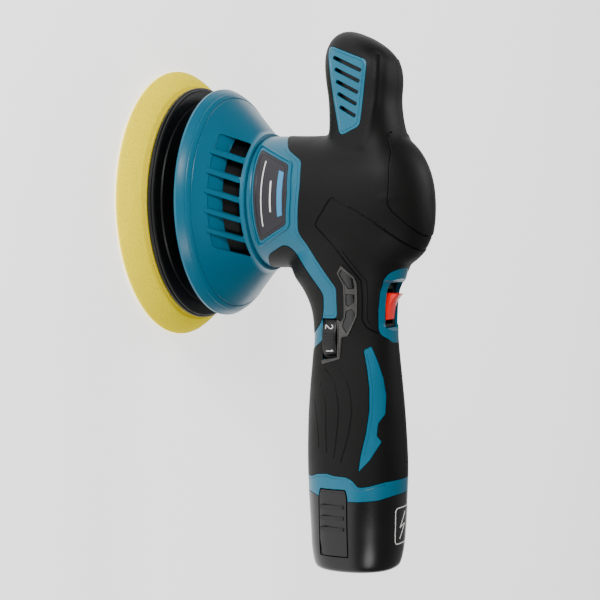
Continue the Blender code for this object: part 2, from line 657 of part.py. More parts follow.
def build_battery(parts, tools):
    stem_section = (STEM_CENTRE_Z, 21.5, 18.6, 3.4)
    stem = loft("battery_stem", [(STEM_START, STEM_CENTRE_Z, 20, 17.2, 3.2),
                                 (STEM_START + 2, *stem_section), (183, *stem_section)], "X", parts)
    spots = [(8.15, 9.4), (8.15, -9.4), (-8.13, 0)]
    for index, (y, dz) in enumerate(spots):
        z = STEM_CENTRE_Z + dz
        bore = rod(f"cell_bore_{index}", CELL_RADIUS + GAP, (128.2, y, z), (190, y, z), tools, 24)
        cut(stem, bore)
        cell = rod(f"cell_{index + 1}", CELL_RADIUS, (128.8, y, z), (128.8 + CELL_LENGTH, y, z),
                   parts, 24)
        finish(cell, (0.1, 0.2, 0.35), 0.4)
    for y in (-9, 9):
        cut(stem, block("contact_pocket", (120, y - 0.9, 140.5), (127.5, y + 0.9, 146), tools))
    finish(stem, BLACK, 0.35)
    band = prism("cup_band", grown(BAND, GAP), -60, 60, tools)
    cup = loft("battery_cup", CUP, "X", parts)
    cut(cup, block("above_cup", (150, -60, 60), (178.6, 60, 200), tools), band)
    hollow = loft("cup_hollow", [(170, 126.5, 24.6, 22.6, 2.4), (205, 126.5, 24.4, 22.6, 2.4),
                                 (222, 126.2, 22.5, 20.5, 2.4)], "X", tools)
    latch_room = prism("latch_room", grown(LATCH, 0.8), -60, -22.2, tools)
    cut(cup, hollow, latch_room)
    finish(cup, BLACK, 0.3)
    board = block("battery_board", (196, -14, 112), (197.6, 14, 141), parts)
    finish(board, BOARD, 0.5)
    latch = prism("battery_latch", LATCH, -60, -24.6, parts)
    cup_skin = loft("latch_skin", CUP, "X", tools)
    skin_above = loft("latch_skin_above", HANDLE[-2:], "X", tools)
    join(cup_skin, skin_above)
    keep(latch, cup_skin)
    for index in range(3):
        x = 189.5 + 8.2 * index
        join(latch, block(f"latch_rib_{index}", (x, -28.4 + 0.25 * index, 112.6),
                          (x + 2.4, -25, 128.6), tools))
    finish(set_origin(latch, LATCH_HINGE), BLACK, 0.3)


def build_contacts(parts, tools):
    holder = loft("contact_block", [(114, 125.4, 22.5, 18, 2.4), (124, 125.5, 23.5, 19, 2.4)],
                  "X", parts)
    cut(holder, block("lead_slot", (100, -6, 112), (130, 6, 134), tools))
    for y in (-9, 9):
        cut(holder, block("blade_slot", (105, y - 0.7, 141.4), (130, y + 0.7, 145.3), tools))
    finish(holder, BLACK, 0.5)
    for index, y in enumerate((-9, 9)):
        blade = block(f"contact_blade_{index + 1}", (109.5, y - 0.4, 141.7),
                      (127, y + 0.4, 145), parts)
        finish(blade, BRASS, 0.3, 1.0)


def build_housing_screws(parts):
    for index, (x, z) in enumerate(SCREW_SPOTS):
        screw = rod(f"housing_screw_{index + 1}", 1.5, (x, -8, z), (x, 9.5, z), parts, 10)
        head = rod("screw_head", 2.8, (x, 9.3, z), (x, 11.6, z), parts, 12)
        join(screw, head)
        bpy.data.objects.remove(head)
        finish(screw, STEEL, 0.35, 1.0)


def main():
    for obj in list(bpy.data.objects):
        bpy.data.objects.remove(obj)
    parts = new_collection(NAME)
    tools = new_collection("cutters")
    insets = {"proud": -0.6, "outer": 0.0, "label_face": 0.3, "label_back": 1.0, "label_seat": 1.3,
              "soft_inside": LAYER - GAP, "seat": LAYER - 0.1, "core": LAYER, "post_end": LAYER + 1,
              "inside": WALL}
    skins = {key: skin("skin_" + key, inset, tools) for key, inset in insets.items()}
    build_housing(parts, tools, skins)
    build_side_pieces(parts, tools, skins)
    build_shroud(parts, tools)
    build_pad(parts, tools)
    build_drive(parts, tools)
    build_motor(parts, tools)
    build_collar(parts, tools, skins)
    build_switch(parts, tools, skins)
    build_dial(parts, tools)
    build_battery(parts, tools)
    build_contacts(parts, tools)
    build_housing_screws(parts)
    for obj in tools.objects:
        as_cutter(obj)


main()
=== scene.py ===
"""Looks of the cordless dual action polisher: smooth skins, fine detail, materials and a studio.

Lengths are in millimetres and turned to metres by the helper functions. The motor's axis
is Z, the handle and battery run along +X, and the left side is -Y.
"""

import math

import bmesh
import bpy
from mathutils import Matrix, Vector
from mathutils.bvhtree import BVHTree


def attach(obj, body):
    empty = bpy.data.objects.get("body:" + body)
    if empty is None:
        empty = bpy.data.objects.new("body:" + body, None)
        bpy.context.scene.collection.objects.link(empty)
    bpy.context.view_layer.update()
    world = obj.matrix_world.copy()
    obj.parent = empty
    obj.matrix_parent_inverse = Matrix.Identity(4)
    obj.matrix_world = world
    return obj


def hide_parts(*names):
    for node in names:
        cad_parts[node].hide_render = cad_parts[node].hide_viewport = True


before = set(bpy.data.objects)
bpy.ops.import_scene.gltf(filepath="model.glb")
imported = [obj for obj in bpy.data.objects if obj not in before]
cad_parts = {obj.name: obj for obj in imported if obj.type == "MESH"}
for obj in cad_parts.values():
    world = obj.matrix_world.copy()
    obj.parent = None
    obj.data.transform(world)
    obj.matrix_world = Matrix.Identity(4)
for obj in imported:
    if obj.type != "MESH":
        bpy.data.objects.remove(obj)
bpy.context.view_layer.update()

MM = 0.001
GAP = 0.3                # clearance round a piece that is let into another
SPLIT = 0.15             # half the gap between the two housing halves
FINE_VOXEL = 1.25
SKIN_SIDES = 96
FAR = 60                 # past the widest side of the tool's body along Y
WALL = 4.5               # from the outer skin to the hollow inside

# Skins parallel to the tool's outer form, each so far inside it, or outside where it is below 0
LAYERS = {
    "proud": -0.6, "panel": -0.5, "trim_face": 0.3, "print_face": 0.24, "label_face": 0.3,
    "label_back": 1.0, "label_seat": 1.3, "soft_inside": 1.7, "seat": 1.9, "core": 2.0,
    "post_end": 3.0, "shade_sheet_face": 4.6, "shade_sheet_back": 5.2,
}

# Sections of the outer form: the place along Z for the head, or along X for the others, the
# centre across that axis, half the size along X or Z, half the width along Y, and the power of
# the superellipse
HEAD = [
    (56, 0, 41.5, 41.5, 2.0), (80, 0, 41.5, 41, 2.0), (94, 0.5, 41.5, 40, 2.1),
    (108, 1, 42, 38.8, 2.2), (124, 1.5, 43.5, 37, 2.35), (140, 1.5, 44, 34.5, 2.4),
    (152, 1, 42, 31, 2.4), (161, 1.5, 36.5, 26, 2.4), (168, 3, 29, 20, 2.3),
    (172.5, 4.5, 20, 13, 2.2), (174.6, 5, 9, 6, 2.0),
]
HANDLE = [
    (16, 122, 38, 35, 2.3), (34, 121.2, 37.5, 33, 2.3), (46, 121.4, 35, 30, 2.3),
    (54, 122.8, 31, 27, 2.3), (62, 124, 28.2, 24.6, 2.3), (70, 124.8, 26.8, 22.8, 2.3),
    (80, 125.2, 26.4, 21.5, 2.3), (90, 125.3, 26.8, 21.6, 2.3), (118, 125.5, 29.2, 24.6, 2.3),
    (138, 125.8, 30.4, 26.4, 2.3), (165, 126.4, 30.9, 28.2, 2.3), (192, 126.6, 29.6, 28.4, 2.3),
]
HORN = [
    (0, 139, 33, 33, 2.3), (-14, 138, 30, 31.5, 2.4), (-30, 135.5, 25.5, 28.5, 2.6),
    (-44, 133.2, 21.5, 25.8, 2.8), (-60, 131.8, 20.3, 24.2, 3.0), (-74, 131.2, 21.8, 23.8, 3.0),
    (-84, 130, 21.6, 23, 2.9), (-92, 127.6, 18.8, 20.6, 2.7), (-98.5, 124.6, 13.6, 15.6, 2.5),
    (-102.5, 122.2, 7.8, 9.8, 2.2), (-104.4, 121.2, 3, 4, 2.0),
]
CUP = [
    (178, 126.5, 30.4, 28.6, 2.3), (192, 126.6, 29.6, 28.4, 2.3), (202, 126.6, 29, 28, 2.3),
    (215, 126.4, 28.2, 27, 2.3), (224, 126.2, 26.5, 25.3, 2.3), (227, 126, 24.4, 23.3, 2.3),
    (228, 126, 21.5, 20.5, 2.2),
]
CUP_HOLLOW = [(170, 126.5, 24.6, 22.6, 2.4), (205, 126.5, 24.4, 22.6, 2.4), (222, 126.2, 22.5, 20.5, 2.4)]

# Outlines of the pieces on the sides, as (X, Z) with sharp corners
TRIM = [
    (-60, 60), (-38, 86), (-31, 91.5), (-24, 102.7), (-10, 104), (4, 103), (19.5, 101.7),
    (24.5, 104.3), (40, 114.5), (53.5, 123), (59, 122.2), (72, 121.4), (72, 111.6),
    (84.5, 110.6), (86.5, 109), (90.5, 103), (96, 92), (86, 92), (81, 103), (75, 109.6),
    (69, 112), (57.5, 113.8), (49, 108.5), (34, 98.1), (28, 93.8), (27, 89.3), (33, 76.6),
    (37, 73.6), (46, 66), (46, 60),
]
NECK_PATCH = [
    (28, 93.8), (27, 89.3), (33, 76.6), (37, 73.6), (46, 66), (46, 60), (88, 60), (86, 92),
    (81, 103), (75, 109.6), (69, 112), (57.5, 113.8), (49, 108.5), (34, 98.1),
]
INLAY = [
    (91.2, 138.1), (88.8, 142.2), (98, 145.8), (108, 148.8), (118.5, 150.5), (130, 150.6),
    (135.6, 147.4), (143, 146.9), (146.6, 149.5), (157.5, 143.7), (164.6, 137.5),
    (155, 138.6), (142, 141.2), (128, 142.7), (114.6, 142.2), (103, 140.6),
]
LABEL = [(-31.5, 73.2), (-21.6, 94.6), (-3.6, 95.8), (14.6, 94.2), (24.6, 75), (2.2, 74.4)]
GAUGE = [
    (39.5, 128.2), (46.2, 135.5), (50.4, 136.6), (70, 134.8), (75.7, 132), (82.5, 128.6),
    (83.6, 124.4), (96.6, 123.6), (100.4, 110.8), (97.6, 110.6), (95.9, 121.7), (72.4, 121.7),
    (74, 124), (71.6, 126.4), (51.2, 128.2), (44.2, 125.2),
]
LENSES = [
    [(42.3, 128.3), (47.6, 134.5), (53.2, 134.6), (53.6, 131), (50, 129.4), (45, 126.6)],
    [(57, 129.3), (57.4, 134.2), (61.7, 133.6), (64.4, 129.6), (63, 128.7)],
    [(67.4, 128.5), (66.2, 132), (69, 133.6), (73, 132), (80.6, 127.5), (76.6, 125.2),
     (72.8, 126.8)],
]
DIAL_WINDOW = [(72, 110.7), (72, 121.7), (95.6, 121.7), (97.2, 111)]
GRILLE = [
    (-92.6, 114.1), (-94.2, 116.4), (-84.4, 140.9), (-79, 140.9), (-44.6, 137.8), (-39.4, 126.8),
    (-41, 124.4), (-61.3, 119.5), (-82, 116),
]
BEZEL = [
    (40, 160), (42.4, 156), (44.5, 153), (49.2, 149.9), (55.4, 147.3), (66, 146.2),
    (78.6, 145.9), (82.2, 147.3), (84.5, 150.2), (88, 152), (88, 160),
]
SADDLE = [(46, 161), (48.3, 154.7), (50, 152.4), (54, 150.1), (63, 148.9), (76, 148.4),
          (78, 149.6), (81, 152.6), (84, 161)]
BAND = [
    (169.7, 80), (169.7, 104.3), (167.6, 109), (166.8, 116.5), (168, 122), (168.2, 129.5),
    (170, 133.5), (174.4, 137.4), (173.7, 143.2), (171.2, 152), (169.6, 170), (179.3, 170),
    (179.6, 156), (182.1, 148.3), (183, 137.4), (182.8, 120), (181, 111), (179.2, 104.2), (179, 80),
]
LATCH = [(176.6, 112.2), (176.6, 129), (180.6, 130), (217, 130), (217, 111.2), (180.6, 111.2)]

DIAL_CENTRE = (84.0, -4.8, 116.4)
DIAL_RADIUS = 18.6
DIAL_WIDTH = 9.2
DIAL_BORE = 3.3
DIAL_ROOM_HALF = 5       # half the height of the hollow that the dial turns in
HOUSING_FOOT = 69.3      # height of the housing's lower edge, just above the shroud
HANDLE_END = 176         # where the collar takes over from the housing
ROCKER_PIVOT = (65.0, 0.0, 143.0)
SWITCH_ROOM = ((50.2, -10.6, 120), (78, 10.6, 170))
SCREW_SPOTS = [(-33, 112), (38, 128), (3, 159), (-60, 145.6), (108.5, 113)]
SCREW_POST = 4.0         # radii of a screw's post, its pilot hole and the sink for its head
SCREW_PILOT = 1.8
SCREW_SINK = 3.2
SINK_START = 9.0
ORBIT = 4.0              # from the motor's axis to the pad's

TRIM_EDGE = slice(12, 82)  # the part of the rounded trim outline that carries a pressed line

# Raised panels, pressed lines, the horn's ridge and the slots of its inserts, as (X, Z)
SIDE_PANEL = [
    (-0.8, 124.4), (15.1, 114.1), (30.4, 127.3), (48.2, 139.8), (60, 139.3), (72.9, 138.2),
    (77.1, 140.6), (80, 145.7), (82, 190), (44, 190), (30.1, 167.6), (22, 158.5), (14.4, 149.1),
    (6, 136),
]
PANEL_LIP = [(31, 129.2), (46.6, 139.9), (50, 141.3), (60, 140.8), (71.5, 139.8), (75.6, 141.5)]
INLAY_LINE = [(93.5, 140), (103, 142.2), (114.6, 143.9), (128, 144.4), (142, 143), (155, 140.6)]
COLLAR_LINE = [(171.2, 100), (171, 104.8), (169.2, 109.2), (168.4, 116.5), (169.4, 122), (169.7, 130),
               (171.2, 132.8), (175.9, 136.8), (175.2, 143.2), (172.8, 152)]
BACK_PANEL = [
    (-39.6, 153.5), (-29.4, 157.3), (-12.3, 158.3), (2.8, 157.9), (6.1, 159.5), (13, 166),
    (20.8, 172.7), (34, 190), (-60, 190), (-46, 162),
]
HORN_RIDGE = [(-88, 146.4), (-75, 146.6), (-61.5, 145.8), (-43.4, 142.8), (-31.7, 138.9)]
SLOTS = [
    ((-87.1, 118.9), (-77.8, 138.1)), ((-79.8, 120.4), (-71.3, 137.2)),
    ((-72.3, 121.6), (-64.6, 136.3)), ((-64.8, 122.7), (-57.5, 135.5)),
    ((-56.7, 124.3), (-50.4, 135.1)),
]
HANDLE_LINES = [
    [(103, 113.5), (110.3, 119.6), (124.9, 123.7), (140.3, 123.4), (156.7, 121.7)],
    [(103, 123.5), (110, 128.9), (124.6, 132.3), (140, 131.3), (159.5, 126.4)],
    [(112, 110), (124, 114.5), (140, 115.6), (154, 116.6)],
    [(122, 105.5), (136, 108.5), (151, 110.6)],
]

# The plain mark on the battery, as (X, Y) seen from above
MARK_FRAME = [(188.5, -10), (211, -8.5), (211, 9.5), (188.5, 11)]
MARK_BOLT = [(191.5, 3.5), (201, -3.5), (199, 4), (208, -3)]


# ---------------------------------------------------------------- helpers

def new_collection(name):
    """A collection in the scene."""
    collection = bpy.data.collections.new(name)
    bpy.context.scene.collection.children.link(collection)
    return collection


LOOKS = new_collection("looks")


def add_object(name, data):
    """An object for mesh or curve data, at the origin."""
    obj = bpy.data.objects.new(name, data)
    LOOKS.objects.link(obj)
    return obj


def add_mesh(name, shape):
    """A new object from a bmesh, which is freed."""
    mesh = bpy.data.meshes.new(name)
    shape.to_mesh(mesh)
    shape.free()
    return add_object(name, mesh)


def drop(*objects):
    """Remove helper objects."""
    for obj in objects:
        bpy.data.objects.remove(obj)


def bake(obj):
    """Turn an object's modifiers, or a curve, into a plain mesh that lies at the origin."""
    bpy.context.view_layer.update()
    depsgraph = bpy.context.evaluated_depsgraph_get()
    mesh = bpy.data.meshes.new_from_object(obj.evaluated_get(depsgraph))
    mesh.transform(obj.matrix_world)
    if obj.type == "MESH":
        obj.modifiers.clear()
        obj.data = mesh
        obj.matrix_world = Matrix.Identity(4)
        return obj
    cleaned = bmesh.new()
    cleaned.from_mesh(mesh)
    bmesh.ops.remove_doubles(cleaned, verts=cleaned.verts, dist=0.000005)
    name = obj.name
    drop(obj)
    return add_mesh(name, cleaned)


def modified(obj, kind, **settings):
    """Apply one modifier."""
    modifier = obj.modifiers.new(kind.lower(), kind)
    for key, value in settings.items():
        setattr(modifier, key, value)
    return bake(obj)


def combine(target, tools, operation, use_up=True):
    """Apply one boolean for each tool, and remove the tool unless it is needed again."""
    for tool in tools:
        modified(target, "BOOLEAN", operation=operation, object=tool, solver="MANIFOLD")
        if use_up:
            drop(tool)
    return target


def cut(target, *tools, use_up=True):
    """Take the tools away from the target."""
    return combine(target, tools, "DIFFERENCE", use_up)


def join(target, *tools, use_up=True):
    """Add the tools to the target."""
    return combine(target, tools, "UNION", use_up)


def keep(target, *tools, use_up=True):
    """Keep only what of the target lies inside every tool."""
    return combine(target, tools, "INTERSECT", use_up)


def copy_of(source, name):
    """A second object with its own copy of the mesh."""
    return add_object(name, source.data.copy())


def dense(rows, steps):
    """The rows of numbers with a smooth run of extra rows between each pair."""
    result = []
    for index in range(len(rows) - 1):
        before = rows[max(index - 1, 0)]
        first, second = rows[index], rows[index + 1]
        after = rows[min(index + 2, len(rows) - 1)]
        for step in range(steps):
            t = step / steps
            row = []
            for a, b, c, d in zip(before, first, second, after):
                row.append(0.5 * (2 * b + (c - a) * t + (2 * a - 5 * b + 4 * c - d) * t * t
                                  + (3 * b - a - 3 * c + d) * t ** 3))
            result.append(tuple(row))
    result.append(tuple(rows[-1]))
    return result


def superellipse(angle, across, wide, power):
    """A point on the rounded outline of a section."""
    cosine, sine = math.cos(angle), math.sin(angle)
    return (across * math.copysign(abs(cosine) ** (2 / power), cosine),
            wide * math.copysign(abs(sine) ** (2 / power), sine))


def loft(name, sections, axis, inset=0.0, sides=SKIN_SIDES):
    """A closed skin through superellipse sections that stand across the X or Z axis."""
    shell = bmesh.new()
    rings = []
    for place, centre, across, wide, power in sections:
        ring = []
        for step in range(sides):
            angle = 2 * math.pi * (step + 0.5) / sides
            u, v = superellipse(angle, max(across - inset, 0.6), max(wide - inset, 0.6), power)
            spot = (centre + u, v, place) if axis == "Z" else (place, v, centre + u)
            ring.append(shell.verts.new(Vector(spot) * MM))
        rings.append(ring)
    for lower, upper in zip(rings, rings[1:]):
        for step in range(sides):
            following = (step + 1) % sides
            shell.faces.new((lower[step], lower[following], upper[following], upper[step]))
    shell.faces.new(rings[0])
    shell.faces.new(rings[-1])
    bmesh.ops.recalc_face_normals(shell, faces=shell.faces)
    return add_mesh(name, shell)


def turned(name, profile, centre=(0, 0), sides=128):
    """A solid of revolution about Z; the profile is (radius, height) down its outer side."""
    shape = bmesh.new()
    rings = []
    for radius, height in profile:
        if radius == 0:
            rings.append([shape.verts.new(Vector((*centre, height)) * MM)])
            continue
        ring = []
        for step in range(sides):
            angle = 2 * math.pi * step / sides
            spot = (centre[0] + radius * math.cos(angle), centre[1] + radius * math.sin(angle), height)
            ring.append(shape.verts.new(Vector(spot) * MM))
        rings.append(ring)
    pairs = list(zip(rings, rings[1:]))
    if profile[0][0] > 0:
        pairs.append((rings[-1], rings[0]))
    for upper, lower in pairs:
        for step in range(sides):
            following = (step + 1) % sides
            corners = []
            for corner in (upper[step % len(upper)], upper[following % len(upper)],
                           lower[following % len(lower)], lower[step % len(lower)]):
                if corner not in corners:
                    corners.append(corner)
            shape.faces.new(corners)
    bmesh.ops.recalc_face_normals(shape, faces=shape.faces)
    return add_mesh(name, shape)


def rod(name, radius, start, end, sides=24):
    """A cylinder between two points."""
    start, end = Vector(start) * MM, Vector(end) * MM
    shape = bmesh.new()
    turn = (end - start).to_track_quat("Z", "Y").to_matrix().to_4x4()
    bmesh.ops.create_cone(shape, cap_ends=True, segments=sides, radius1=radius * MM,
                          radius2=radius * MM, depth=(end - start).length,
                          matrix=Matrix.Translation((start + end) / 2) @ turn)
    return add_mesh(name, shape)


def block(name, low, high):
    """A box between its low and its high corner."""
    low, high = Vector(low) * MM, Vector(high) * MM
    shape = bmesh.new()
    bmesh.ops.create_cube(shape, size=1.0, matrix=Matrix.Translation((low + high) / 2)
                          @ Matrix.Diagonal((*(high - low), 1.0)))
    return add_mesh(name, shape)


def grown(outline, amount):
    """The outline moved out by amount, with mitred corners."""
    area = sum(a[0] * b[1] - b[0] * a[1] for a, b in zip(outline, outline[1:] + outline[:1]))
    side = math.copysign(1, area)
    result = []
    for index in range(len(outline)):
        here = Vector(outline[index])
        first = (here - Vector(outline[index - 1])).normalized()
        second = (Vector(outline[(index + 1) % len(outline)]) - here).normalized()
        normal = Vector((first.y, -first.x)) * side
        outward = (normal + Vector((second.y, -second.x)) * side).normalized()
        result.append(tuple(here + outward * amount / max(outward.dot(normal), 0.35)))
    return result


def rounded(outline, radius, steps=5):
    """The outline with each corner turned into a short curve that starts radius away from it."""
    result = []
    for index in range(len(outline)):
        here = Vector(outline[index])
        before = Vector(outline[index - 1]) - here
        after = Vector(outline[(index + 1) % len(outline)]) - here
        start = here + before.normalized() * min(radius, before.length * 0.45)
        end = here + after.normalized() * min(radius, after.length * 0.45)
        for step in range(steps + 1):
            t = step / steps
            result.append(tuple(start * (1 - t) ** 2 + here * 2 * t * (1 - t) + end * t * t))
    return result


def prism(name, outline, near=-FAR, far=FAR):
    """An (X, Z) outline run along Y from near to far."""
    curve = bpy.data.curves.new(name, "CURVE")
    curve.dimensions = "2D"
    curve.fill_mode = "BOTH"
    curve.extrude = abs(far - near) / 2 * MM
    spline = curve.splines.new("POLY")
    spline.points.add(len(outline) - 1)
    for point, (x, z) in zip(spline.points, outline):
        point.co = (x * MM, z * MM, 0, 1)
    spline.use_cyclic_u = True
    obj = add_object(name, curve)
    obj.rotation_euler = (math.radians(90), 0, 0)
    obj.location = (0, (near + far) / 2 * MM, 0)
    return bake(obj)


def surface_tree(obj):
    """An object's surface, ready for rays."""
    bpy.context.view_layer.update()
    return BVHTree.FromObject(obj, bpy.context.evaluated_depsgraph_get())


def evenly(line, closed, pitch):
    """Points every pitch millimetres along a flat line."""
    ends = list(zip(line, line[1:] + line[:1])) if closed else list(zip(line, line[1:]))
    points = []
    for first, second in ends:
        first, second = Vector(first), Vector(second)
        count = max(1, round((second - first).length / pitch))
        points += [first.lerp(second, step / count) for step in range(count)]
    if not closed:
        points.append(Vector(line[-1]))
    return points


def on_surface(tree, line, side, lift=0.0, closed=False, pitch=1.5):
    """Points on the skin along an (X, Z) line seen from one side, or an (X, Y) line when side is 0."""
    path = []
    for x, other in evenly(line, closed, pitch):
        spot = Vector((x, side * 150, other)) if side else Vector((x, other, 250))
        hit, normal, _, _ = tree.ray_cast(spot * MM, Vector((0, -side, 0) if side else (0, 0, -1)))
        if hit is not None:
            path.append(hit + normal * lift * MM)
    return path


def tube(name, path, radius, closed=False, round_sides=2):
    """A round bead along points that are given in metres."""
    curve = bpy.data.curves.new(name, "CURVE")
    curve.dimensions = "3D"
    curve.bevel_depth = radius * MM
    curve.bevel_resolution = round_sides
    curve.use_fill_caps = True
    spline = curve.splines.new("POLY")
    spline.points.add(len(path) - 1)
    for point, spot in zip(spline.points, path):
        point.co = (*spot, 1)
    spline.use_cyclic_u = closed
    return bake(add_object(name, curve))


def smooth_shade(obj, angle=32):
    """Smooth shading that stops at edges sharper than angle."""
    obj.data.shade_smooth()
    obj.data.set_sharp_from_angle(angle=math.radians(angle))
    return obj


def present(obj, body, slot, *nodes, surface=None, angle=32):
    """Finish a piece: its material, its shading, its body and the nodes it stands for."""
    obj.data.materials.clear()
    obj.data.materials.append(surface or MADE[slot])
    smooth_shade(obj, angle)
    if nodes:
        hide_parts(*nodes)
    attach(obj, body)
    return obj


# ---------------------------------------------------------------- materials

def srgb(text):
    """A linear colour from an sRGB hex text."""
    values = []
    for start in (1, 3, 5):
        value = int(text[start:start + 2], 16) / 255
        values.append(value / 12.92 if value <= 0.04045 else ((value + 0.055) / 1.055) ** 2.4)
    return (*values, 1.0)


def node(tree, kind, inputs, **settings):
    """Add a node, set its own settings, and fill each input with a value or a link."""
    made = tree.nodes.new(kind)
    for key, value in settings.items():
        setattr(made, key, value)
    for key, value in inputs.items():
        if isinstance(value, bpy.types.NodeSocket):
            tree.links.new(value, made.inputs[key])
        else:
            made.inputs[key].default_value = value
    return made


def plain(name, colour, roughness, metallic=0.0, coat=0.0, specular=0.5):
    """A material with one colour and finish, its node tree and its shader."""
    made = bpy.data.materials.new(name)
    made.use_nodes = True
    shader = made.node_tree.nodes["Principled BSDF"]
    shader.inputs["Base Color"].default_value = srgb(colour)
    shader.inputs["Roughness"].default_value = roughness
    shader.inputs["Metallic"].default_value = metallic
    shader.inputs["Coat Weight"].default_value = coat
    shader.inputs["Specular IOR Level"].default_value = specular
    return made, made.node_tree, shader


def moulded(name, light, dark, drift, grain, depth, roughness, uneven, metallic=0.0, coat=0.0,
            specular=0.5):
    """A solid colour that drifts over patches of drift mm, with a grain of grain mm, depth mm deep."""
    made, tree, shader = plain(name, light, roughness, metallic, coat, specular)
    place = node(tree, "ShaderNodeTexCoord", {}).outputs["Object"]
    patches = node(tree, "ShaderNodeTexNoise", {"Vector": place, "Scale": 1 / (drift * MM), "Detail": 4.0})
    tint = node(tree, "ShaderNodeMix", {0: patches.outputs["Fac"], 6: srgb(dark), 7: srgb(light)},
                data_type="RGBA")
    tree.links.new(tint.outputs[2], shader.inputs["Base Color"])
    wear = node(tree, "ShaderNodeMapRange", {"Value": patches.outputs["Fac"], "From Min": 0.3,
                                             "From Max": 0.7, "To Min": roughness - uneven,
                                             "To Max": roughness + uneven})
    tree.links.new(wear.outputs["Result"], shader.inputs["Roughness"])
    fine = node(tree, "ShaderNodeTexNoise", {"Vector": place, "Scale": 1 / (grain * MM), "Detail": 2.0})
    bump = node(tree, "ShaderNodeBump", {"Height": fine.outputs["Fac"], "Strength": 1.0,
                                         "Distance": depth * MM})
    tree.links.new(bump.outputs["Normal"], shader.inputs["Normal"])
    return made


def foam_material():
    """Open-cell polishing foam: dull yellow in slow patches, with painted shade in the pores 1.1 mm apart.
    """
    made, tree, shader = plain("open_cell_foam", "#ffe800", 0.9, specular=0.1)
    place = node(tree, "ShaderNodeTexCoord", {}).outputs["Object"]
    patches = node(tree, "ShaderNodeTexNoise", {"Vector": place, "Scale": 1 / (16 * MM), "Detail": 5.0})
    tint = node(tree, "ShaderNodeMix", {0: patches.outputs["Fac"], 6: srgb("#f4dc00"),
                                        7: srgb("#ffe800")}, data_type="RGBA")
    cells = node(tree, "ShaderNodeTexVoronoi", {"Vector": place, "Scale": 1 / (1.1 * MM)})
    # Painted shade: the colour darkens toward the middle of each cell, where the bump sinks into a pore
    pore_shade = node(tree, "ShaderNodeMapRange", {"Value": cells.outputs["Distance"], "From Min": 0.05,
                                              "From Max": 0.32, "To Min": 0.55, "To Max": 0.0})
    spots = node(tree, "ShaderNodeMix", {0: pore_shade.outputs["Result"], 6: tint.outputs[2],
                                         7: srgb("#8f7000")}, data_type="RGBA")
    tree.links.new(spots.outputs[2], shader.inputs["Base Color"])
    bump = node(tree, "ShaderNodeBump", {"Height": cells.outputs["Distance"], "Strength": 0.6,
                                         "Distance": 0.25 * MM})
    tree.links.new(bump.outputs["Normal"], shader.inputs["Normal"])
    shader.inputs["Subsurface Weight"].default_value = 0.05
    shader.inputs["Subsurface Radius"].default_value = (0.004, 0.003, 0.001)
    return made


def winding_material():
    """Lacquered copper wire: a warm shine in rings. They are drawn 1.6 mm apart, coarser than the wire."""
    made, tree, shader = plain("lacquered_copper", "#b4612e", 0.3, 1.0)
    place = node(tree, "ShaderNodeTexCoord", {}).outputs["Object"]
    turns = node(tree, "ShaderNodeTexWave", {"Vector": place, "Scale": 1 / (5 * MM), "Distortion": 0.4},
                 wave_type="BANDS", bands_direction="Z")
    bump = node(tree, "ShaderNodeBump", {"Height": turns.outputs["Fac"], "Strength": 0.8,
                                         "Distance": 0.2 * MM})
    tree.links.new(bump.outputs["Normal"], shader.inputs["Normal"])
    return made


def board_material():
    """Green solder mask: a satin sheet in which rows of copper 1.5 mm apart show faintly."""
    made, tree, shader = plain("solder_mask", "#1d5a30", 0.35)
    place = node(tree, "ShaderNodeTexCoord", {}).outputs["Object"]
    tracks = node(tree, "ShaderNodeTexBrick", {"Vector": place, "Scale": 1 / (6 * MM),
                                               "Color1": srgb("#1d5a30"), "Color2": srgb("#236a38"),
                                               "Mortar": srgb("#5f8a4a"), "Mortar Size": 0.03})
    tree.links.new(tracks.outputs["Color"], shader.inputs["Base Color"])
    return made


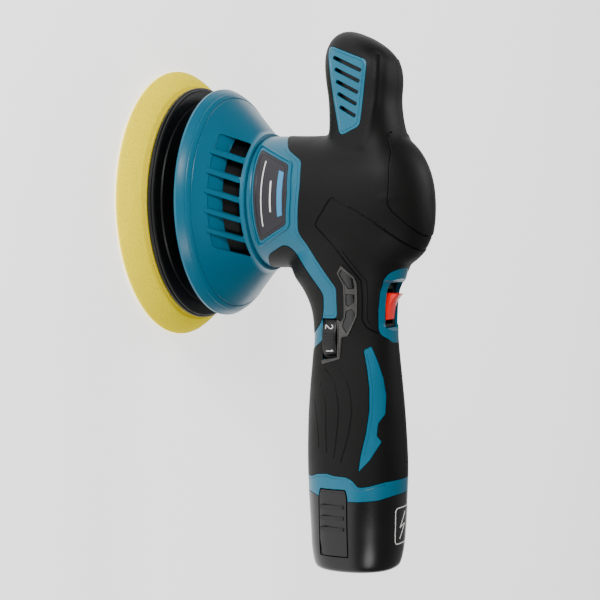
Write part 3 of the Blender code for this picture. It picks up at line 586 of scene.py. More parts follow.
def make_materials():
    """One material for each slot of the record.

    A moulded one has its light and its dark colour, then the size of its patches, the size and
    the depth of its grain in millimetres, its roughness and how uneven that is.
    """
    return {
        # Glass-filled nylon from a fine-sparked mould: satin teal with broad, soft highlights
        "teal_abs": moulded("glass_filled_nylon_teal", "#005b74", "#00546c", 30, 0.35, 0.012, 0.34, 0.05,
                            specular=0.3),
        # Rubber moulded over the shell: a deep, dull black
        "soft_grip": moulded("overmoulded_rubber", "#070706", "#040404", 25, 0.4, 0.03, 0.55, 0.05,
                             specular=0.16),
        # Unpolished nylon: black with a low sheen
        "black_nylon": moulded("black_nylon", "#080708", "#050505", 25, 0.5, 0.02, 0.42, 0.05,
                               specular=0.3),
        # Polycarbonate from a smoother mould: black with long, clear highlights
        "battery_plastic": moulded("polycarbonate_black", "#060606", "#040404", 30, 0.5, 0.01, 0.3, 0.04,
                                   specular=0.35),
        # Printed plastic plate: violet black, a little lighter than the rubber
        "dark_label": moulded("label_plate", "#201e24", "#1c1a20", 20, 0.5, 0.006, 0.38, 0.04,
                              specular=0.3),
        # Moulded ABS: dark warm grey, satin
        "grey_plastic": moulded("grey_abs", "#2e2c2a", "#282624", 20, 0.4, 0.012, 0.4, 0.05, specular=0.5),
        # Smoked acrylic: all but black, with a sharp gloss
        "smoked_lens": moulded("smoked_acrylic", "#070708", "#050506", 20, 3.0, 0.002, 0.09, 0.02,
                               specular=0.4),
        # Nylon from a polished mould: bright red under a thin gloss
        "red_plastic": moulded("red_nylon", "#ff0800", "#e80400", 15, 1.0, 0.004, 0.25, 0.04, coat=0.2,
                               specular=0.3),
        "yellow_foam": foam_material(),
        # Brushed loop fabric: rough, without a highlight
        "loop_cloth": moulded("loop_fabric", "#e0cc08", "#b8a400", 2, 0.35, 0.25, 0.95, 0.03),
        # Zinc plate: pale grey metal, a little clouded
        "plated_steel": moulded("zinc_plated_steel", "#b9bbbd", "#9fa2a5", 8, 0.6, 0.006, 0.32, 0.08, 1.0),
        # Ground steel: bright, with sharp reflections
        "bearing_steel": moulded("ground_steel", "#c9cacc", "#babcbe", 10, 0.3, 0.002, 0.16, 0.05, 1.0),
        # Turned brass: warm and satin
        "brass": moulded("turned_brass", "#c8a85a", "#ab8c42", 6, 0.5, 0.01, 0.34, 0.08, 1.0),
        # Sand-cast iron: dark and coarse
        "cast_iron": moulded("cast_iron", "#3a3836", "#2a2826", 5, 0.7, 0.05, 0.55, 0.08, 1.0),
        "copper_winding": winding_material(),
        "green_board": board_material(),
        # Film shrunk on a cell: blue and shiny
        "blue_sleeve": moulded("cell_sleeve", "#2a5f8c", "#24557f", 12, 2.0, 0.01, 0.3, 0.05, coat=0.4),
    }


# Screen-printed inks: flat and even
INK_WHITE = moulded("white_print", "#dcdcda", "#d2d2d0", 10, 1.0, 0.001, 0.5, 0.02)
INK_BLUE = moulded("blue_print", "#1a7fb0", "#1876a4", 10, 1.0, 0.001, 0.45, 0.02)
MADE = make_materials()


INNER_NODES = {
    "copper_winding": ["armature"],
    "green_board": ["battery_board", "control_board"],
    "battery_plastic": ["battery_stem"],
    "bearing_steel": ["bearing_balls", "bearing_inner", "bearing_outer", "motor_shaft"],
    "blue_sleeve": ["cell_1", "cell_2", "cell_3"],
    "brass": ["contact_blade_1", "contact_blade_2", "switch_terminal_1", "switch_terminal_2"],
    "cast_iron": ["counterweight"],
    "black_nylon": ["contact_block", "cooling_fan", "motor_end_cap"],
    "plated_steel": ["grub_screw", "housing_screw_1", "housing_screw_2", "housing_screw_3",
                     "housing_screw_4", "housing_screw_5", "motor_can", "motor_plate", "motor_screw_1",
                     "motor_screw_2", "pad_bolt", "pad_spindle", "potentiometer", "shroud_screw_1",
                     "shroud_screw_2", "shroud_screw_3"],
}


def dress_inner_nodes():
    """The pieces inside keep their shape and take the material of their slot."""
    for slot, names in INNER_NODES.items():
        for name in names:
            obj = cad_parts[name]
            obj.data.materials.clear()
            obj.data.materials.append(MADE[slot])


# ---------------------------------------------------------------- skins

HANDLE_ROOT = 38         # where the handle and the horn leave the head, along X
HORN_ROOT = -40
HEAD_CROWN = 160         # above this height the head keeps more of its own shape


def near_junction(spot):
    """How far a point on the skin belongs to the blend between head, handle and horn, 0 to 1."""
    x, _, z = spot / MM
    handle = max(0.0, 1 - abs(x - HANDLE_ROOT) / 18) * (1 if z < HEAD_CROWN else 0.4)
    horn = max(0.0, 1 - abs(x - HORN_ROOT) / 14)
    return max(handle, horn)


def smooth_skin():
    """The tool's whole outer form as one even, rounded skin."""
    form = loft("skin", dense(HEAD, 6), "Z")
    join(form, loft("skin_handle", dense(HANDLE, 5), "X"), loft("skin_horn", dense(HORN, 6), "X"))
    tree = surface_tree(form)
    for side in (-1, 1):
        join(form, tube("horn_ridge", on_surface(tree, HORN_RIDGE, side, -2.8), 4.2, round_sides=4))
    voxel = FINE_VOXEL
    modified(form, "REMESH", mode="VOXEL", voxel_size=voxel * MM, use_smooth_shade=True)
    group = form.vertex_groups.new(name="junction")
    for vertex in form.data.vertices:
        weight = near_junction(vertex.co)
        if weight > 0:
            group.add([vertex.index], weight, "REPLACE")
    modified(form, "SMOOTH", factor=0.5, iterations=8)
    return modified(form, "SMOOTH", factor=0.5, iterations=24, vertex_group="junction")


def layer_of(source, name, inset):
    """The skin moved in by inset millimetres, or out when inset is negative."""
    form = copy_of(source, name)
    return modified(form, "DISPLACE", strength=-inset * MM, mid_level=0.0)


def inner_room():
    """The hollow inside the housing's walls."""
    form = loft("inside", dense(HEAD[:-2], 2), "Z", WALL, 48)
    join(form, loft("inside_handle", dense(HANDLE, 2), "X", WALL, 48),
         loft("inside_horn", dense(HORN[:-3], 2), "X", WALL, 48))
    return form


def grille_slots(side):
    """The five slots of a horn insert, cut through it and the wall behind."""
    near, far = sorted((side * FAR, side * 12))
    half_width = 1.2
    slots = []
    for foot, tip in SLOTS:
        foot, tip = Vector(foot), Vector(tip)
        across = Vector((tip.y - foot.y, foot.x - tip.x)).normalized() * half_width
        corners = (foot - across, tip - across, tip + across, foot + across)
        slots.append(prism("slot", rounded([tuple(corner) for corner in corners], 1.1), near, far))
    return slots


def side_band(name, outline, outer, inner, side):
    """A plate with this outline on one side, between an outer and an inner skin."""
    near, far = sorted((side * FAR, side * 2))
    piece = prism(name, outline, near, far)
    keep(piece, outer, use_up=False)
    return cut(piece, inner, use_up=False)


# ---------------------------------------------------------------- housing and grips

def groove_set(trees, lines, radius, lift, name):
    """Beads along the same lines on both sides, to cut or to join."""
    beads = []
    for side in (-1, 1):
        for index, line in enumerate(lines):
            path = on_surface(trees["outer"], line, side, lift)
            if len(path) > 2:
                beads.append(tube(f"{name}_{side}_{index}", path, radius))
    return beads


def housing_rooms(skins):
    """What the shell and the rubber both leave free for the other pieces."""
    x, y, z = DIAL_CENTRE
    low, high = z - DIAL_ROOM_HALF, z + DIAL_ROOM_HALF
    rooms = [
        block("below_housing", (-80, -80, 30), (80, 80, HOUSING_FOOT)),
        prism("beyond_band", grown(BAND, GAP)),
        block("past_handle", (HANDLE_END, -FAR, 60), (230, FAR, 200)),
        prism("bezel_hole", grown(rounded(BEZEL, 2), GAP), -40, 40),
        block("switch_room", *SWITCH_ROOM),
        prism("dial_window", rounded(DIAL_WINDOW, 0.6), -40, -8),
        turned("dial_room", [(0, high), (DIAL_RADIUS + 1, high), (DIAL_RADIUS + 1, low), (0, low)],
               (x, y), 64),
        side_band("frame_room", grown(rounded(GAUGE, 0.8), GAP), skins["proud"], skins["seat"], -1),
    ]
    for side in (-1, 1):
        rooms.append(side_band("label_room", grown(rounded(LABEL, 2), GAP), skins["proud"],
                               skins["label_seat"], side))
        rooms.append(side_band("grille_room", grown(rounded(GRILLE, 2.5), GAP), skins["proud"],
                               skins["seat"], side))
        rooms += grille_slots(side)
    return rooms


def add_screw_posts(hard, soft, skins):
    """A post for each housing screw, with its pilot hole and a sink for its head on the right."""
    for x, z in SCREW_SPOTS:
        post = rod("screw_post", SCREW_POST, (x, -FAR, z), (x, FAR, z))
        join(hard, keep(post, skins["post_end"], use_up=False))
        cut(hard, rod("screw_pilot", SCREW_PILOT, (x, -SINK_START, z), (x, FAR, z)))
        sink = rod("screw_sink", SCREW_SINK, (x, SINK_START, z), (x, FAR, z))
        cut(hard, sink, use_up=False)
        cut(soft, sink)


def split_housing(hard, soft):
    """Shell and rubber as a left and a right half, and the rubber on the neck as its own piece."""
    patch = prism("neck_patch", NECK_PATCH)
    neck = copy_of(soft, "neck_rubber")
    keep(neck, patch, use_up=False)
    cut(soft, patch)
    present(neck, "tool_body", "soft_grip", "neck_grip")
    layers = ((hard, "_shell", "teal_abs", "housing_"), (soft, "_rubber", "soft_grip", "grip_"))
    for side, low, high in (("left", -70, -SPLIT), ("right", SPLIT, 70)):
        for layer, ending, slot, node_name in layers:
            half = copy_of(layer, side + ending)
            keep(half, block("half", (-120, low, 0), (240, high, 200)))
            present(half, "tool_body", slot, node_name + side)
    drop(hard, soft)


def build_housing(skins, trees):
    """The teal shell, whose raised trim and inlay come through the black rubber over it."""
    hard = copy_of(skins["core"], "hard_shell")
    raised = (rounded(TRIM, 3), rounded(INLAY, 0.9))
    for outline in raised:
        join(hard, keep(prism("raised", outline), skins["trim_face"], use_up=False))
    cut(hard, skins["inside"], use_up=False)
    soft = copy_of(skins["outer"], "soft_layer")
    cut(soft, skins["soft_inside"], use_up=False)
    raise_panels(soft, skins, trees)
    cut(soft, *[prism("raised_room", grown(outline, GAP)) for outline in raised])
    rooms = housing_rooms(skins)
    for piece in (hard, soft):
        cut(piece, *rooms, use_up=False)
    drop(*rooms)
    add_screw_posts(hard, soft, skins)
    detail_trim(hard, trees)
    split_housing(hard, soft)


def detail_trim(hard, trees):
    """The step round each label plate, and the pressed lines of each inlay and of the trim."""
    tree = trees["trim_face"]
    for side in (-1, 1):
        ring = on_surface(tree, rounded(grown(LABEL, 2.2), 3), side, 0.1, True)
        join(hard, tube("label_ridge", ring, 0.9, True))
        cut(hard, tube("inlay_groove", on_surface(tree, dense(INLAY_LINE, 6), side, 0.1), 0.35))
        edge = rounded(grown(TRIM, -1.6), 2)[TRIM_EDGE]
        cut(hard, tube("trim_groove", on_surface(tree, edge, side, 0.1), 0.3))


def raise_panels(soft, skins, trees):
    """The raised side and back panels with a groove round each, and the lines of the handle."""
    for name, outline in (("side_panel", SIDE_PANEL), ("back_panel", BACK_PANEL)):
        edge = rounded(outline, 1.5)
        panel = keep(prism(name, edge), skins["panel"], use_up=False)
        cut(panel, skins["soft_inside"], use_up=False)
        cut(soft, *groove_set(trees, [grown(edge, 0.5)], 0.8, 0.1, name))
        join(soft, panel)
    join(soft, *groove_set(trees, [dense(PANEL_LIP, 4)], 0.9, 0.15, "lip"))
    cut(soft, *groove_set(trees, [dense(line, 8) for line in HANDLE_LINES], 0.5, 0.1, "handle"))


# ---------------------------------------------------------------- side pieces

BLUE_BARS = [[(-18.4, 89.4), (-17, 92.8), (9, 92.6), (10, 89.4)]]
WHITE_BARS = [
    [(-12, 84.6), (-12, 85.6), (7, 85.6), (7, 84.6)],
    [(-24.5, 78.8), (-24.2, 79.5), (15.6, 79.5), (16, 78.8)],
]


def label_marks(skins, side):
    """A plain blue bar and thin white lines, in place of any printing."""
    near, far = sorted((side * FAR, side * 2))
    for ink, surface, outlines in (("blue", INK_BLUE, BLUE_BARS), ("white", INK_WHITE, WHITE_BARS)):
        for index, outline in enumerate(outlines):
            mark = prism(f"print_{ink}_{index}_{side}", outline, near, far)
            keep(mark, skins["print_face"], use_up=False)
            cut(mark, skins["label_face"], use_up=False)
            present(mark, "tool_body", "dark_label", surface=surface)


def build_side_pieces(skins, trees):
    """The label plate, the slotted horn insert and a black sheet behind its slots, as painted shade, on
    each side.
    """
    for word, side in (("left", -1), ("right", 1)):
        label = side_band("plate_" + word, rounded(LABEL, 2), skins["label_face"],
                          skins["label_back"], side)
        ring = on_surface(trees["label_face"], rounded(grown(LABEL, -1.4), 2), side, 0.1, True)
        cut(label, tube("plate_groove", ring, 0.3, True))
        present(label, "tool_body", "dark_label", "label_" + word)
        label_marks(skins, side)
        grille = side_band("insert_" + word, rounded(GRILLE, 2.5), skins["outer"],
                           skins["soft_inside"], side)
        ring = on_surface(trees["outer"], rounded(grown(GRILLE, -1.6), 2.5), side, 0.1, True)
        cut(grille, tube("insert_groove", ring, 0.35, True))
        cut(grille, *grille_slots(side))
        present(grille, "tool_body", "teal_abs", "horn_grille_" + word)
        # A black sheet just inside the slots: painted shade that keeps them dark
        shade_sheet = side_band("horn_shade_sheet_" + word, rounded(grown(GRILLE, 1), 2.5), skins["shade_sheet_face"],
                           skins["shade_sheet_back"], side)
        present(shade_sheet, "tool_body", "black_nylon")
    build_gauge(skins, trees)


def build_gauge(skins, trees):
    """The control frame and its three smoked windows."""
    gauge = side_band("gauge_surround", rounded(GAUGE, 0.8), skins["proud"], skins["soft_inside"], -1)
    for name, outline in zip(("upper", "middle", "lower"), LENSES):
        cut(gauge, prism("lens_room", rounded(grown(outline, GAP), 0.7), -FAR, -2))
        lens = side_band("window_" + name, rounded(outline, 0.6), skins["outer"],
                         skins["soft_inside"], -1)
        present(lens, "tool_body", "smoked_lens", "gauge_lens_" + name)
    rim = on_surface(trees["outer"], rounded(grown(GAUGE, -0.6), 0.8), -1, 0.55, True, 1.0)
    join(gauge, tube("gauge_rim", rim, 0.4, True))
    present(gauge, "tool_body", "grey_plastic", "control_frame")


# ---------------------------------------------------------------- shroud and pad

# Profiles as (radius, height)
SHROUD_SHAPE = [
    (42, 69), (42.9, 68.8), (43.4, 68.2), (43.6, 67.2), (44.2, 65.4), (45.4, 64), (53.8, 56),
    (64.5, 46), (68.2, 42.9), (70.2, 40.4), (71.2, 38.6), (72, 37.4), (72, 36), (69.6, 36),
    (68.4, 38.5), (66, 41.2), (62.3, 44.2), (51.4, 54.5), (41.4, 64.2), (40, 66), (28, 66), (28, 69),
]
SCOOP_FLOOR = [
    (0, 67), (26, 67), (34, 62), (45, 58.4), (50, 56.6), (52.8, 55.2), (57.3, 51.9), (58.8, 51),
    (59, 50), (0, 50),
]
FIN_TOP = [(0, 66.6), (43.6, 66.6), (54.9, 56.1), (60.4, 51), (60.2, 50.4), (59, 49.6), (0, 49.6)]
FIN_FOOT = [(0, 66), (40.8, 66), (52.2, 54.6), (60, 47.4), (0, 47.4)]
# The black ring inside the vents: painted shade where there is only shadow between the vents and the fan
SHADE_SHEET_SHAPE = [(36.9, 65.4), (46.6, 55.6), (49, 53.2), (48.3, 52.8), (45.9, 55.2), (36.2, 65)]
RIM_GROOVES = ((69.3, 42.2), (66.3, 44.7))
FOAM_EDGE = [(75, 13.5), (79, 10), (82.4, 6.2), (84.4, 3.4), (85, 2), (84.4, 0.7), (82.5, 0)]
LOOP_SHAPE = [(0, 15.7), (72.8, 15.7), (73.5, 15.2), (73.5, 14.2), (73, 13.8), (0, 13.8)]
PLATE_SHAPE = [
    (14, 30), (20.6, 30), (21.2, 29.6), (22.5, 27.5), (24, 26.9), (46, 23.5), (64, 21.5),
    (64.6, 20.7), (65.6, 20.6), (66.2, 21.3), (71.4, 20.7), (72.4, 20.3), (72.9, 19.7), (73, 18.9),
    (73.6, 18.7), (74, 18.2), (74, 17.2), (73.6, 16.4), (72.8, 16), (7.5, 16), (7.5, 22),
    (3.6, 22), (3.6, 30),
]

# Vents on each side, with a fin between each two; both lean toward the handle as they rise
VENTS = 6
VENT_START = -41.6
VENT_PITCH = 12.1
VENT_RIB = 2.6
VENT_FOOT = 51.6
VENT_TOP = 66.2
VENT_LEAN = 0.43         # millimetres along X for each millimetre of height
FIN_WIDTH = 2.8
FIN_SHIFT = 2.7
FIN_LOW = 50.4
SHROUD_SCREW_RING = 32
SHROUD_SCREW_HOLE = 1.9


def leaning_bar(start, width, low, high, corner):
    """A slot or fin outline that leans toward the handle as it rises."""
    shift = (high - low) * VENT_LEAN
    return rounded([(start, low), (start + width, low), (start + width + shift, high),
                    (start + shift, high)], corner)


def cut_vents(shroud, sides):
    """A row of scoops on each side of the shroud, with slim fins standing between them."""
    floor = turned("scoop_floor", SCOOP_FLOOR, sides=sides)
    fin_skin = turned("fin_skin", FIN_TOP, sides=sides)
    cut(fin_skin, turned("fin_foot", FIN_FOOT, sides=sides))
    for sign in (-1, 1):
        near, far = sorted((sign * 75, sign * 18))
        for index in range(VENTS):
            start = VENT_START + VENT_PITCH * index
            outline = leaning_bar(start, VENT_PITCH - VENT_RIB, VENT_FOOT, VENT_TOP, 1.4)
            cut(shroud, cut(prism("scoop", outline, near, far), floor, use_up=False))
        fins = []
        for index in range(1, VENTS):
            start = VENT_START - FIN_SHIFT + VENT_PITCH * index
            fin = prism("fin", leaning_bar(start, FIN_WIDTH, FIN_LOW, VENT_TOP, 1.2), near, far)
            fins.append(keep(fin, fin_skin, use_up=False))
        join(shroud, *fins)
    drop(fin_skin, floor)


def build_shroud():
    """The vented skirt over the fan, with two grooves near its rim, and a black ring inside it that paints
    shade behind the vents.
    """
    sides = 192
    shroud = turned("vented_shroud", SHROUD_SHAPE, sides=sides)
    cut_vents(shroud, sides)
    for radius, height in RIM_GROOVES:
        ring = [Vector((radius * math.cos(a), radius * math.sin(a), height)) * MM
                for a in (2 * math.pi * step / sides for step in range(sides))]
        cut(shroud, tube("rim_groove", ring, 0.55, True))
    for index in range(3):
        angle = math.radians(60 + 120 * index)
        x, y = SHROUD_SCREW_RING * math.cos(angle), SHROUD_SCREW_RING * math.sin(angle)
        cut(shroud, rod("shroud_hole", SHROUD_SCREW_HOLE, (x, y, 60), (x, y, 72)))
    present(shroud, "tool_body", "teal_abs", "shroud", angle=28)
    # Painted shade: a black ring behind the vents that keeps them dark
    shade_sheet = turned("vent_shade_sheet", SHADE_SHEET_SHAPE, sides=96)
    present(shade_sheet, "tool_body", "black_nylon")


def build_pad():
    """The foam pad, the loop fabric on its back and the plate that carries it."""
    centre = (0, ORBIT)
    foam = turned("polishing_foam", [(0, 13.5)] + dense(FOAM_EDGE, 4) + [(0, 0)], centre, 160)
    present(foam, "pad", "yellow_foam", "foam_pad", angle=60)
    loop = turned("loop_backing", LOOP_SHAPE, centre, 128)
    present(loop, "pad", "loop_cloth", "loop_disc")
    plate = turned("hook_plate", PLATE_SHAPE, centre, 160)
    present(plate, "pad", "black_nylon", "backing_plate")


# ---------------------------------------------------------------- switch and dial

SADDLE_FLAT = 10.9       # half the level part of the saddle along Y
SHOULDER_SLOPE = 0.55

# The rocker's outline from its pivot, as (X, Z)
ROCKER_TOP = [(-7.9, 11.6), (-3.5, 8.2), (1, 6.4), (8, 5.4)]
ROCKER_BELOW = [(8.6, 2), (5, -3), (0, -4.5), (-5, -3), (-8.6, 2)]
ROCKER_HALF = 5.5


def build_bezel(skins):
    """The surround of the switch, with a saddle across it that falls away at the sides."""
    bezel = prism("switch_surround", rounded(BEZEL, 2), -40, 40)
    keep(bezel, skins["outer"], use_up=False)
    cut(bezel, prism("saddle", rounded(SADDLE, 2), -40, 40), block("bezel_pocket", *SWITCH_ROOM))
    for side in (-1, 1):
        shoulder = prism("shoulder", rounded(SADDLE, 2), *sorted((side * SADDLE_FLAT, side * 40)))
        for vertex in shoulder.data.vertices:
            vertex.co.z -= SHOULDER_SLOPE * max(abs(vertex.co.y) - SADDLE_FLAT * MM, 0)
        cut(bezel, shoulder)
    present(bezel, "tool_body", "teal_abs", "switch_bezel")


def build_switch():
    """The switch's case with its flange, and the rocker in its well."""
    body = block("switch_case", (52, -8, 124), (76.5, 8, 146.2))
    join(body, block("flange", (50.6, -10.2, 144.6), (77.6, 10.2, 147.2)))
    cut(body, block("well", (54.2, -5.9, 135), (75.8, 5.9, 170)))
    present(body, "tool_body", "black_nylon", "switch_body")
    x, _, z = ROCKER_PIVOT
    shape = [(x + along, z + up) for along, up in dense(ROCKER_TOP, 5) + ROCKER_BELOW]
    rocker = prism("switch_paddle", shape, -ROCKER_HALF, ROCKER_HALF)
    modified(rocker, "BEVEL", width=0.4 * MM, segments=2, limit_method="ANGLE")
    present(rocker, "rocker", "red_plastic", "switch_rocker")


FIRST_NUMERAL = -64.5    # degrees round the dial's axis, with one numeral every step
NUMERAL_STEP = 47.0
TEETH_START = -33        # from a numeral to the first tooth beside it, in degrees
TEETH_SWEEP = 19
BACK_TEETH_START = 14
BACK_TEETH_SWEEP = 97
TOOTH_RADIUS = 0.45
NUMERAL_WIDTH = 0.8      # the strokes below are drawn this much narrower and lower
NUMERAL_HEIGHT = 0.85
NUMERALS = {
    "1": [[(-1.1, 1.6), (0, 2.7), (0, -2.7)]],
    "2": [[(-1.6, 1.5), (-1.2, 2.4), (-0.2, 2.8), (0.9, 2.6), (1.5, 1.8), (1.4, 0.8), (0.6, -0.3),
           (-1.7, -2.7), (1.8, -2.7)]],
    "3": [[(-1.5, 2.2), (-0.6, 2.8), (0.6, 2.8), (1.5, 2), (1.4, 0.9), (0.2, 0.2), (1.5, -0.5),
           (1.6, -1.8), (0.6, -2.8), (-0.7, -2.8), (-1.6, -2)]],
    "4": [[(0.9, -2.8), (0.9, 2.8), (-1.8, -1.2), (1.9, -1.2)]],
    "5": [[(1.5, 2.7), (-1.2, 2.7), (-1.4, 0.4), (0.3, 0.7), (1.6, -0.2), (1.6, -1.7), (0.5, -2.8),
           (-0.8, -2.8), (-1.6, -2)]],
}


def dial_spot(angle, height, radius):
    """A point on the dial by its angle, its height over the middle and its radius."""
    return Vector((DIAL_CENTRE[0] + radius * math.cos(angle), DIAL_CENTRE[1] + radius * math.sin(angle),
                   DIAL_CENTRE[2] + height)) * MM


def build_numeral(name, strokes, middle):
    """A numeral printed on the dial's rim, centred at the angle middle."""
    for stroke in strokes:
        spots = []
        for first, second in zip(stroke, stroke[1:]):
            spots += [Vector(first).lerp(Vector(second), step / 4) for step in range(4)]
        spots.append(Vector(stroke[-1]))
        path = [dial_spot(middle + spot.x * NUMERAL_WIDTH / DIAL_RADIUS, spot.y * NUMERAL_HEIGHT,
                          DIAL_RADIUS + 0.02) for spot in spots]
        mark = tube("numeral_" + name, path, 0.28)
        present(mark, "dial", "black_nylon", surface=INK_WHITE, angle=60)


def build_dial():
    """The thumbwheel with its numerals, which read along the rim, and grip teeth between them."""
    rim, half = DIAL_RADIUS, DIAL_WIDTH / 2
    shape = [(rim - 0.8, half), (rim - 0.3, half - 0.2), (rim, half - 0.8), (rim, 0.8 - half),
             (rim - 0.3, 0.2 - half), (rim - 0.8, -half), (DIAL_BORE, -half), (DIAL_BORE, half)]
    raised = [(radius, height + DIAL_CENTRE[2]) for radius, height in shape]
    wheel = turned("thumbwheel", raised, DIAL_CENTRE[:2], 144)
    present(wheel, "dial", "black_nylon", "speed_dial")
    for place in range(len(NUMERALS)):
        start = FIRST_NUMERAL - NUMERAL_STEP * place + TEETH_START
        teeth = arc_of_bars(f"wheel_teeth_{place}", 4, start, TEETH_SWEEP)
        present(teeth, "dial", "black_nylon")
    teeth = arc_of_bars("wheel_teeth_back", 16, FIRST_NUMERAL + BACK_TEETH_START, BACK_TEETH_SWEEP)
    present(teeth, "dial", "black_nylon")
    for place, (name, strokes) in enumerate(NUMERALS.items()):
        build_numeral(name, strokes, math.radians(FIRST_NUMERAL - NUMERAL_STEP * place))


def bar_tree():
    """Geometry nodes: upright bars spread along an arc."""
    tree = bpy.data.node_groups.new("arc_of_bars", "GeometryNodeTree")
    for label, kind in (("Count", "NodeSocketInt"), ("Radius", "NodeSocketFloat"),
                        ("Start", "NodeSocketFloat"), ("Sweep", "NodeSocketFloat"),
                        ("Length", "NodeSocketFloat"), ("Bar Radius", "NodeSocketFloat"),
                        ("Material", "NodeSocketMaterial")):
        tree.interface.new_socket(label, in_out="INPUT", socket_type=kind)
    tree.interface.new_socket("Geometry", in_out="OUTPUT", socket_type="NodeSocketGeometry")
    given = node(tree, "NodeGroupInput", {}).outputs
    arc = node(tree, "GeometryNodeCurveArc", {"Resolution": given["Count"], "Radius": given["Radius"],
                                              "Start Angle": given["Start"],
                                              "Sweep Angle": given["Sweep"]})
    bar = node(tree, "GeometryNodeMeshCylinder", {"Vertices": 10, "Radius": given["Bar Radius"],
                                                  "Depth": given["Length"]})
    spread = node(tree, "GeometryNodeInstanceOnPoints", {"Points": arc.outputs["Curve"],
                                                         "Instance": bar.outputs["Mesh"]})
    real = node(tree, "GeometryNodeRealizeInstances", {"Geometry": spread.outputs["Instances"]})
    dressed = node(tree, "GeometryNodeSetMaterial", {"Geometry": real.outputs["Geometry"],
                                                     "Material": given["Material"]})
    node(tree, "NodeGroupOutput", {0: dressed.outputs["Geometry"]})
    return tree


BAR_TREE = bar_tree()


def arc_of_bars(name, count, start, sweep):
    """Grip teeth along part of the dial's rim; the angles are in degrees."""
    obj = add_object(name, bpy.data.meshes.new(name))
    modifier = obj.modifiers.new("bars", "NODES")
    modifier.node_group = BAR_TREE
    values = {"Count": count, "Radius": (DIAL_RADIUS - 0.1) * MM, "Start": math.radians(start),
              "Sweep": math.radians(sweep), "Length": (DIAL_WIDTH - 2.4) * MM,
              "Bar Radius": TOOTH_RADIUS * MM, "Material": MADE["black_nylon"]}
    for item in BAR_TREE.interface.items_tree:
        if item.in_out == "INPUT":
            modifier[item.identifier] = values[item.name]
    bake(obj)
    obj.data.transform(Matrix.Translation(Vector(DIAL_CENTRE) * MM))
    return obj


# ---------------------------------------------------------------- battery

LATCH_ROOM = grown(LATCH, 0.8)
LATCH_RIBS = 3
RIB_START = 185.6
RIB_PITCH = 6.8
RIB_WIDTH = 2.4
RIB_FOOT = 112.6
RIB_TOP = 128.6


def build_collar(skins, trees):
    """The teal ring where the battery meets the handle, with a notch for the latch."""
    collar = keep(prism("ring_collar", rounded(BAND, 1.5)), skins["outer"], use_up=False)
    cut(collar, skins["inside"], use_up=False)
    cut(collar, prism("latch_notch", rounded(LATCH_ROOM, 1.2), -FAR, -15))
    cut(collar, *groove_set(trees, [dense(COLLAR_LINE, 4)], 0.32, 0.05, "collar"))
    present(collar, "tool_body", "teal_abs", "battery_collar")


def build_mark(pack):
    """A framed bolt printed on the battery."""
    tree = surface_tree(pack)
    marks = (("mark_frame", rounded(MARK_FRAME, 3), True), ("mark_bolt", MARK_BOLT, False))
    for name, line, closed in marks:
        mark = tube(name, on_surface(tree, line, 0, -0.15, closed, 1.0), 0.4, closed)
        present(mark, "battery", "battery_plastic", surface=INK_WHITE, angle=60)


def build_latch(skin):
    """The sprung plate on the battery, with three ribs for the thumb."""
    latch = prism("release_latch", rounded(LATCH, 1.0), -FAR, -24.6)
    join(skin, loft("skin_above", HANDLE[-2:], "X"))
    keep(latch, skin)
    for index in range(LATCH_RIBS):
        x = RIB_START + RIB_PITCH * index
        outline = [(x, RIB_FOOT), (x + RIB_WIDTH, RIB_FOOT), (x + RIB_WIDTH, RIB_TOP), (x, RIB_TOP)]
        rib = prism("rib", outline, -29.0 + 0.2 * index, -25)
        modified(rib, "BEVEL", width=0.5 * MM, segments=2, limit_method="ANGLE")
        join(latch, rib)
    present(latch, "latch", "battery_plastic", "battery_latch")


def build_battery():
    """The battery's cup with its mark and its latch."""
    skin = loft("pack_skin", dense(CUP, 6), "X")
    pack = copy_of(skin, "pack_shell")
    cut(pack, block("above_cup", (150, -FAR, 60), (178.6, FAR, 200)),
        prism("cup_band", grown(rounded(BAND, 1.5), GAP)))
    cut(pack, loft("cup_hollow", CUP_HOLLOW, "X"))
    cut(pack, prism("latch_room", rounded(LATCH_ROOM, 1.2), -FAR, -22.2))
    present(pack, "battery", "battery_plastic", "battery_cup")
    build_mark(pack)
    build_latch(skin)


# ---------------------------------------------------------------- studio

# The camera's slant below the side view, its turn and its roll, in degrees
CAMERA_BELOW = 24.23
CAMERA_TURN = 2.39
CAMERA_ROLL = -0.14
CAMERA_DISTANCE = 1059.12
CAMERA_TARGET = (61.93, 0, 86.88)
CAMERA_LENS = 100.78
LIGHT_TARGET = (0.06, 0, 0.09)


def area_light(name, spot, aim, size, power):
    """A round soft light at spot that shines toward aim; all in metres and watts."""
    data = bpy.data.lights.new(name, "AREA")
    data.shape = "DISK"
    data.size = size
    data.energy = power
    light = bpy.data.objects.new(name, data)
    bpy.context.scene.collection.objects.link(light)
    light.location = spot
    light.rotation_euler = (Vector(aim) - Vector(spot)).to_track_quat("-Z", "Y").to_euler()


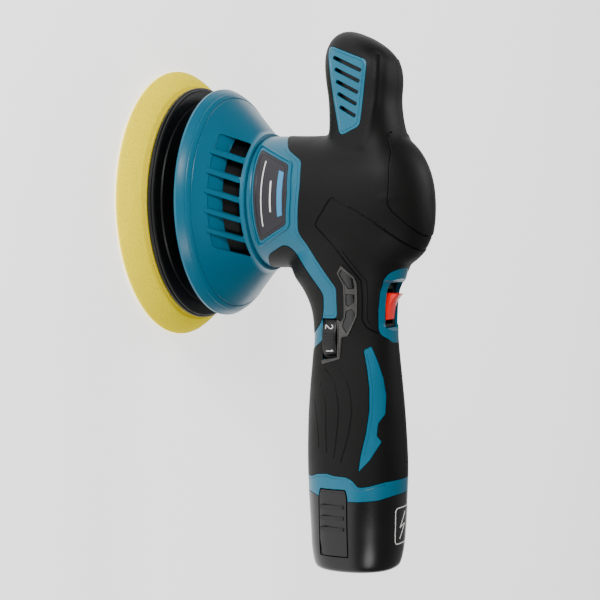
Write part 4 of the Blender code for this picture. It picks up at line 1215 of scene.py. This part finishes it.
def build_studio():
    """A pale floor, an even surround and three soft lights."""
    shape = bmesh.new()
    bmesh.ops.create_grid(shape, x_segments=1, y_segments=1, size=14.0)
    floor = add_mesh("floor", shape)
    paper, _, shader = plain("pale_floor", "#fafafa", 0.9)
    shader.inputs["Emission Color"].default_value = srgb("#ffffff")
    shader.inputs["Emission Strength"].default_value = 1.3
    floor.data.materials.append(paper)
    world = bpy.data.worlds.new("studio")
    world.use_nodes = True
    world.node_tree.nodes["Background"].inputs["Color"].default_value = (1, 1, 1, 1)
    world.node_tree.nodes["Background"].inputs["Strength"].default_value = 0.3
    bpy.context.scene.world = world
    area_light("key", (-0.7, -1.0, 0.55), LIGHT_TARGET, 0.4, 15)
    area_light("fill", (0.9, -0.9, 0.9), LIGHT_TARGET, 0.6, 7)
    area_light("rim", (-0.4, 0.8, 1.0), LIGHT_TARGET, 0.6, 5)


def build_camera():
    """The camera lies on its side: X runs down the picture and Z to the right."""
    below, turn = math.radians(CAMERA_BELOW), math.radians(CAMERA_TURN)
    roll = math.radians(CAMERA_ROLL)
    forward = Vector((math.sin(turn) * math.cos(below), math.cos(turn) * math.cos(below),
                      -math.sin(below)))
    up = Vector((-1, 0, 0))
    up = (up - forward * up.dot(forward)).normalized()
    right = forward.cross(up)
    tilted_right = right * math.cos(roll) + up * math.sin(roll)
    tilted_up = up * math.cos(roll) - right * math.sin(roll)
    data = bpy.data.cameras.new("camera")
    data.lens = CAMERA_LENS
    data.sensor_width = 36
    camera = bpy.data.objects.new("camera", data)
    bpy.context.scene.collection.objects.link(camera)
    turn_matrix = Matrix((tilted_right, tilted_up, -forward)).transposed()
    place = Vector(CAMERA_TARGET) * MM - forward * CAMERA_DISTANCE * MM
    camera.matrix_world = Matrix.Translation(place) @ turn_matrix.to_4x4()
    bpy.context.scene.camera = camera


def main():
    """Build every piece and set the studio."""
    dress_inner_nodes()
    outer = smooth_skin()
    skins = {name: layer_of(outer, name, inset) for name, inset in LAYERS.items()}
    skins["outer"] = outer
    skins["inside"] = inner_room()
    trees = {name: surface_tree(skins[name]) for name in ("outer", "trim_face", "label_face")}
    build_housing(skins, trees)
    build_side_pieces(skins, trees)
    build_shroud()
    build_pad()
    build_bezel(skins)
    build_switch()
    build_dial()
    build_collar(skins, trees)
    build_battery()
    drop(*skins.values())
    build_studio()
    build_camera()


main()
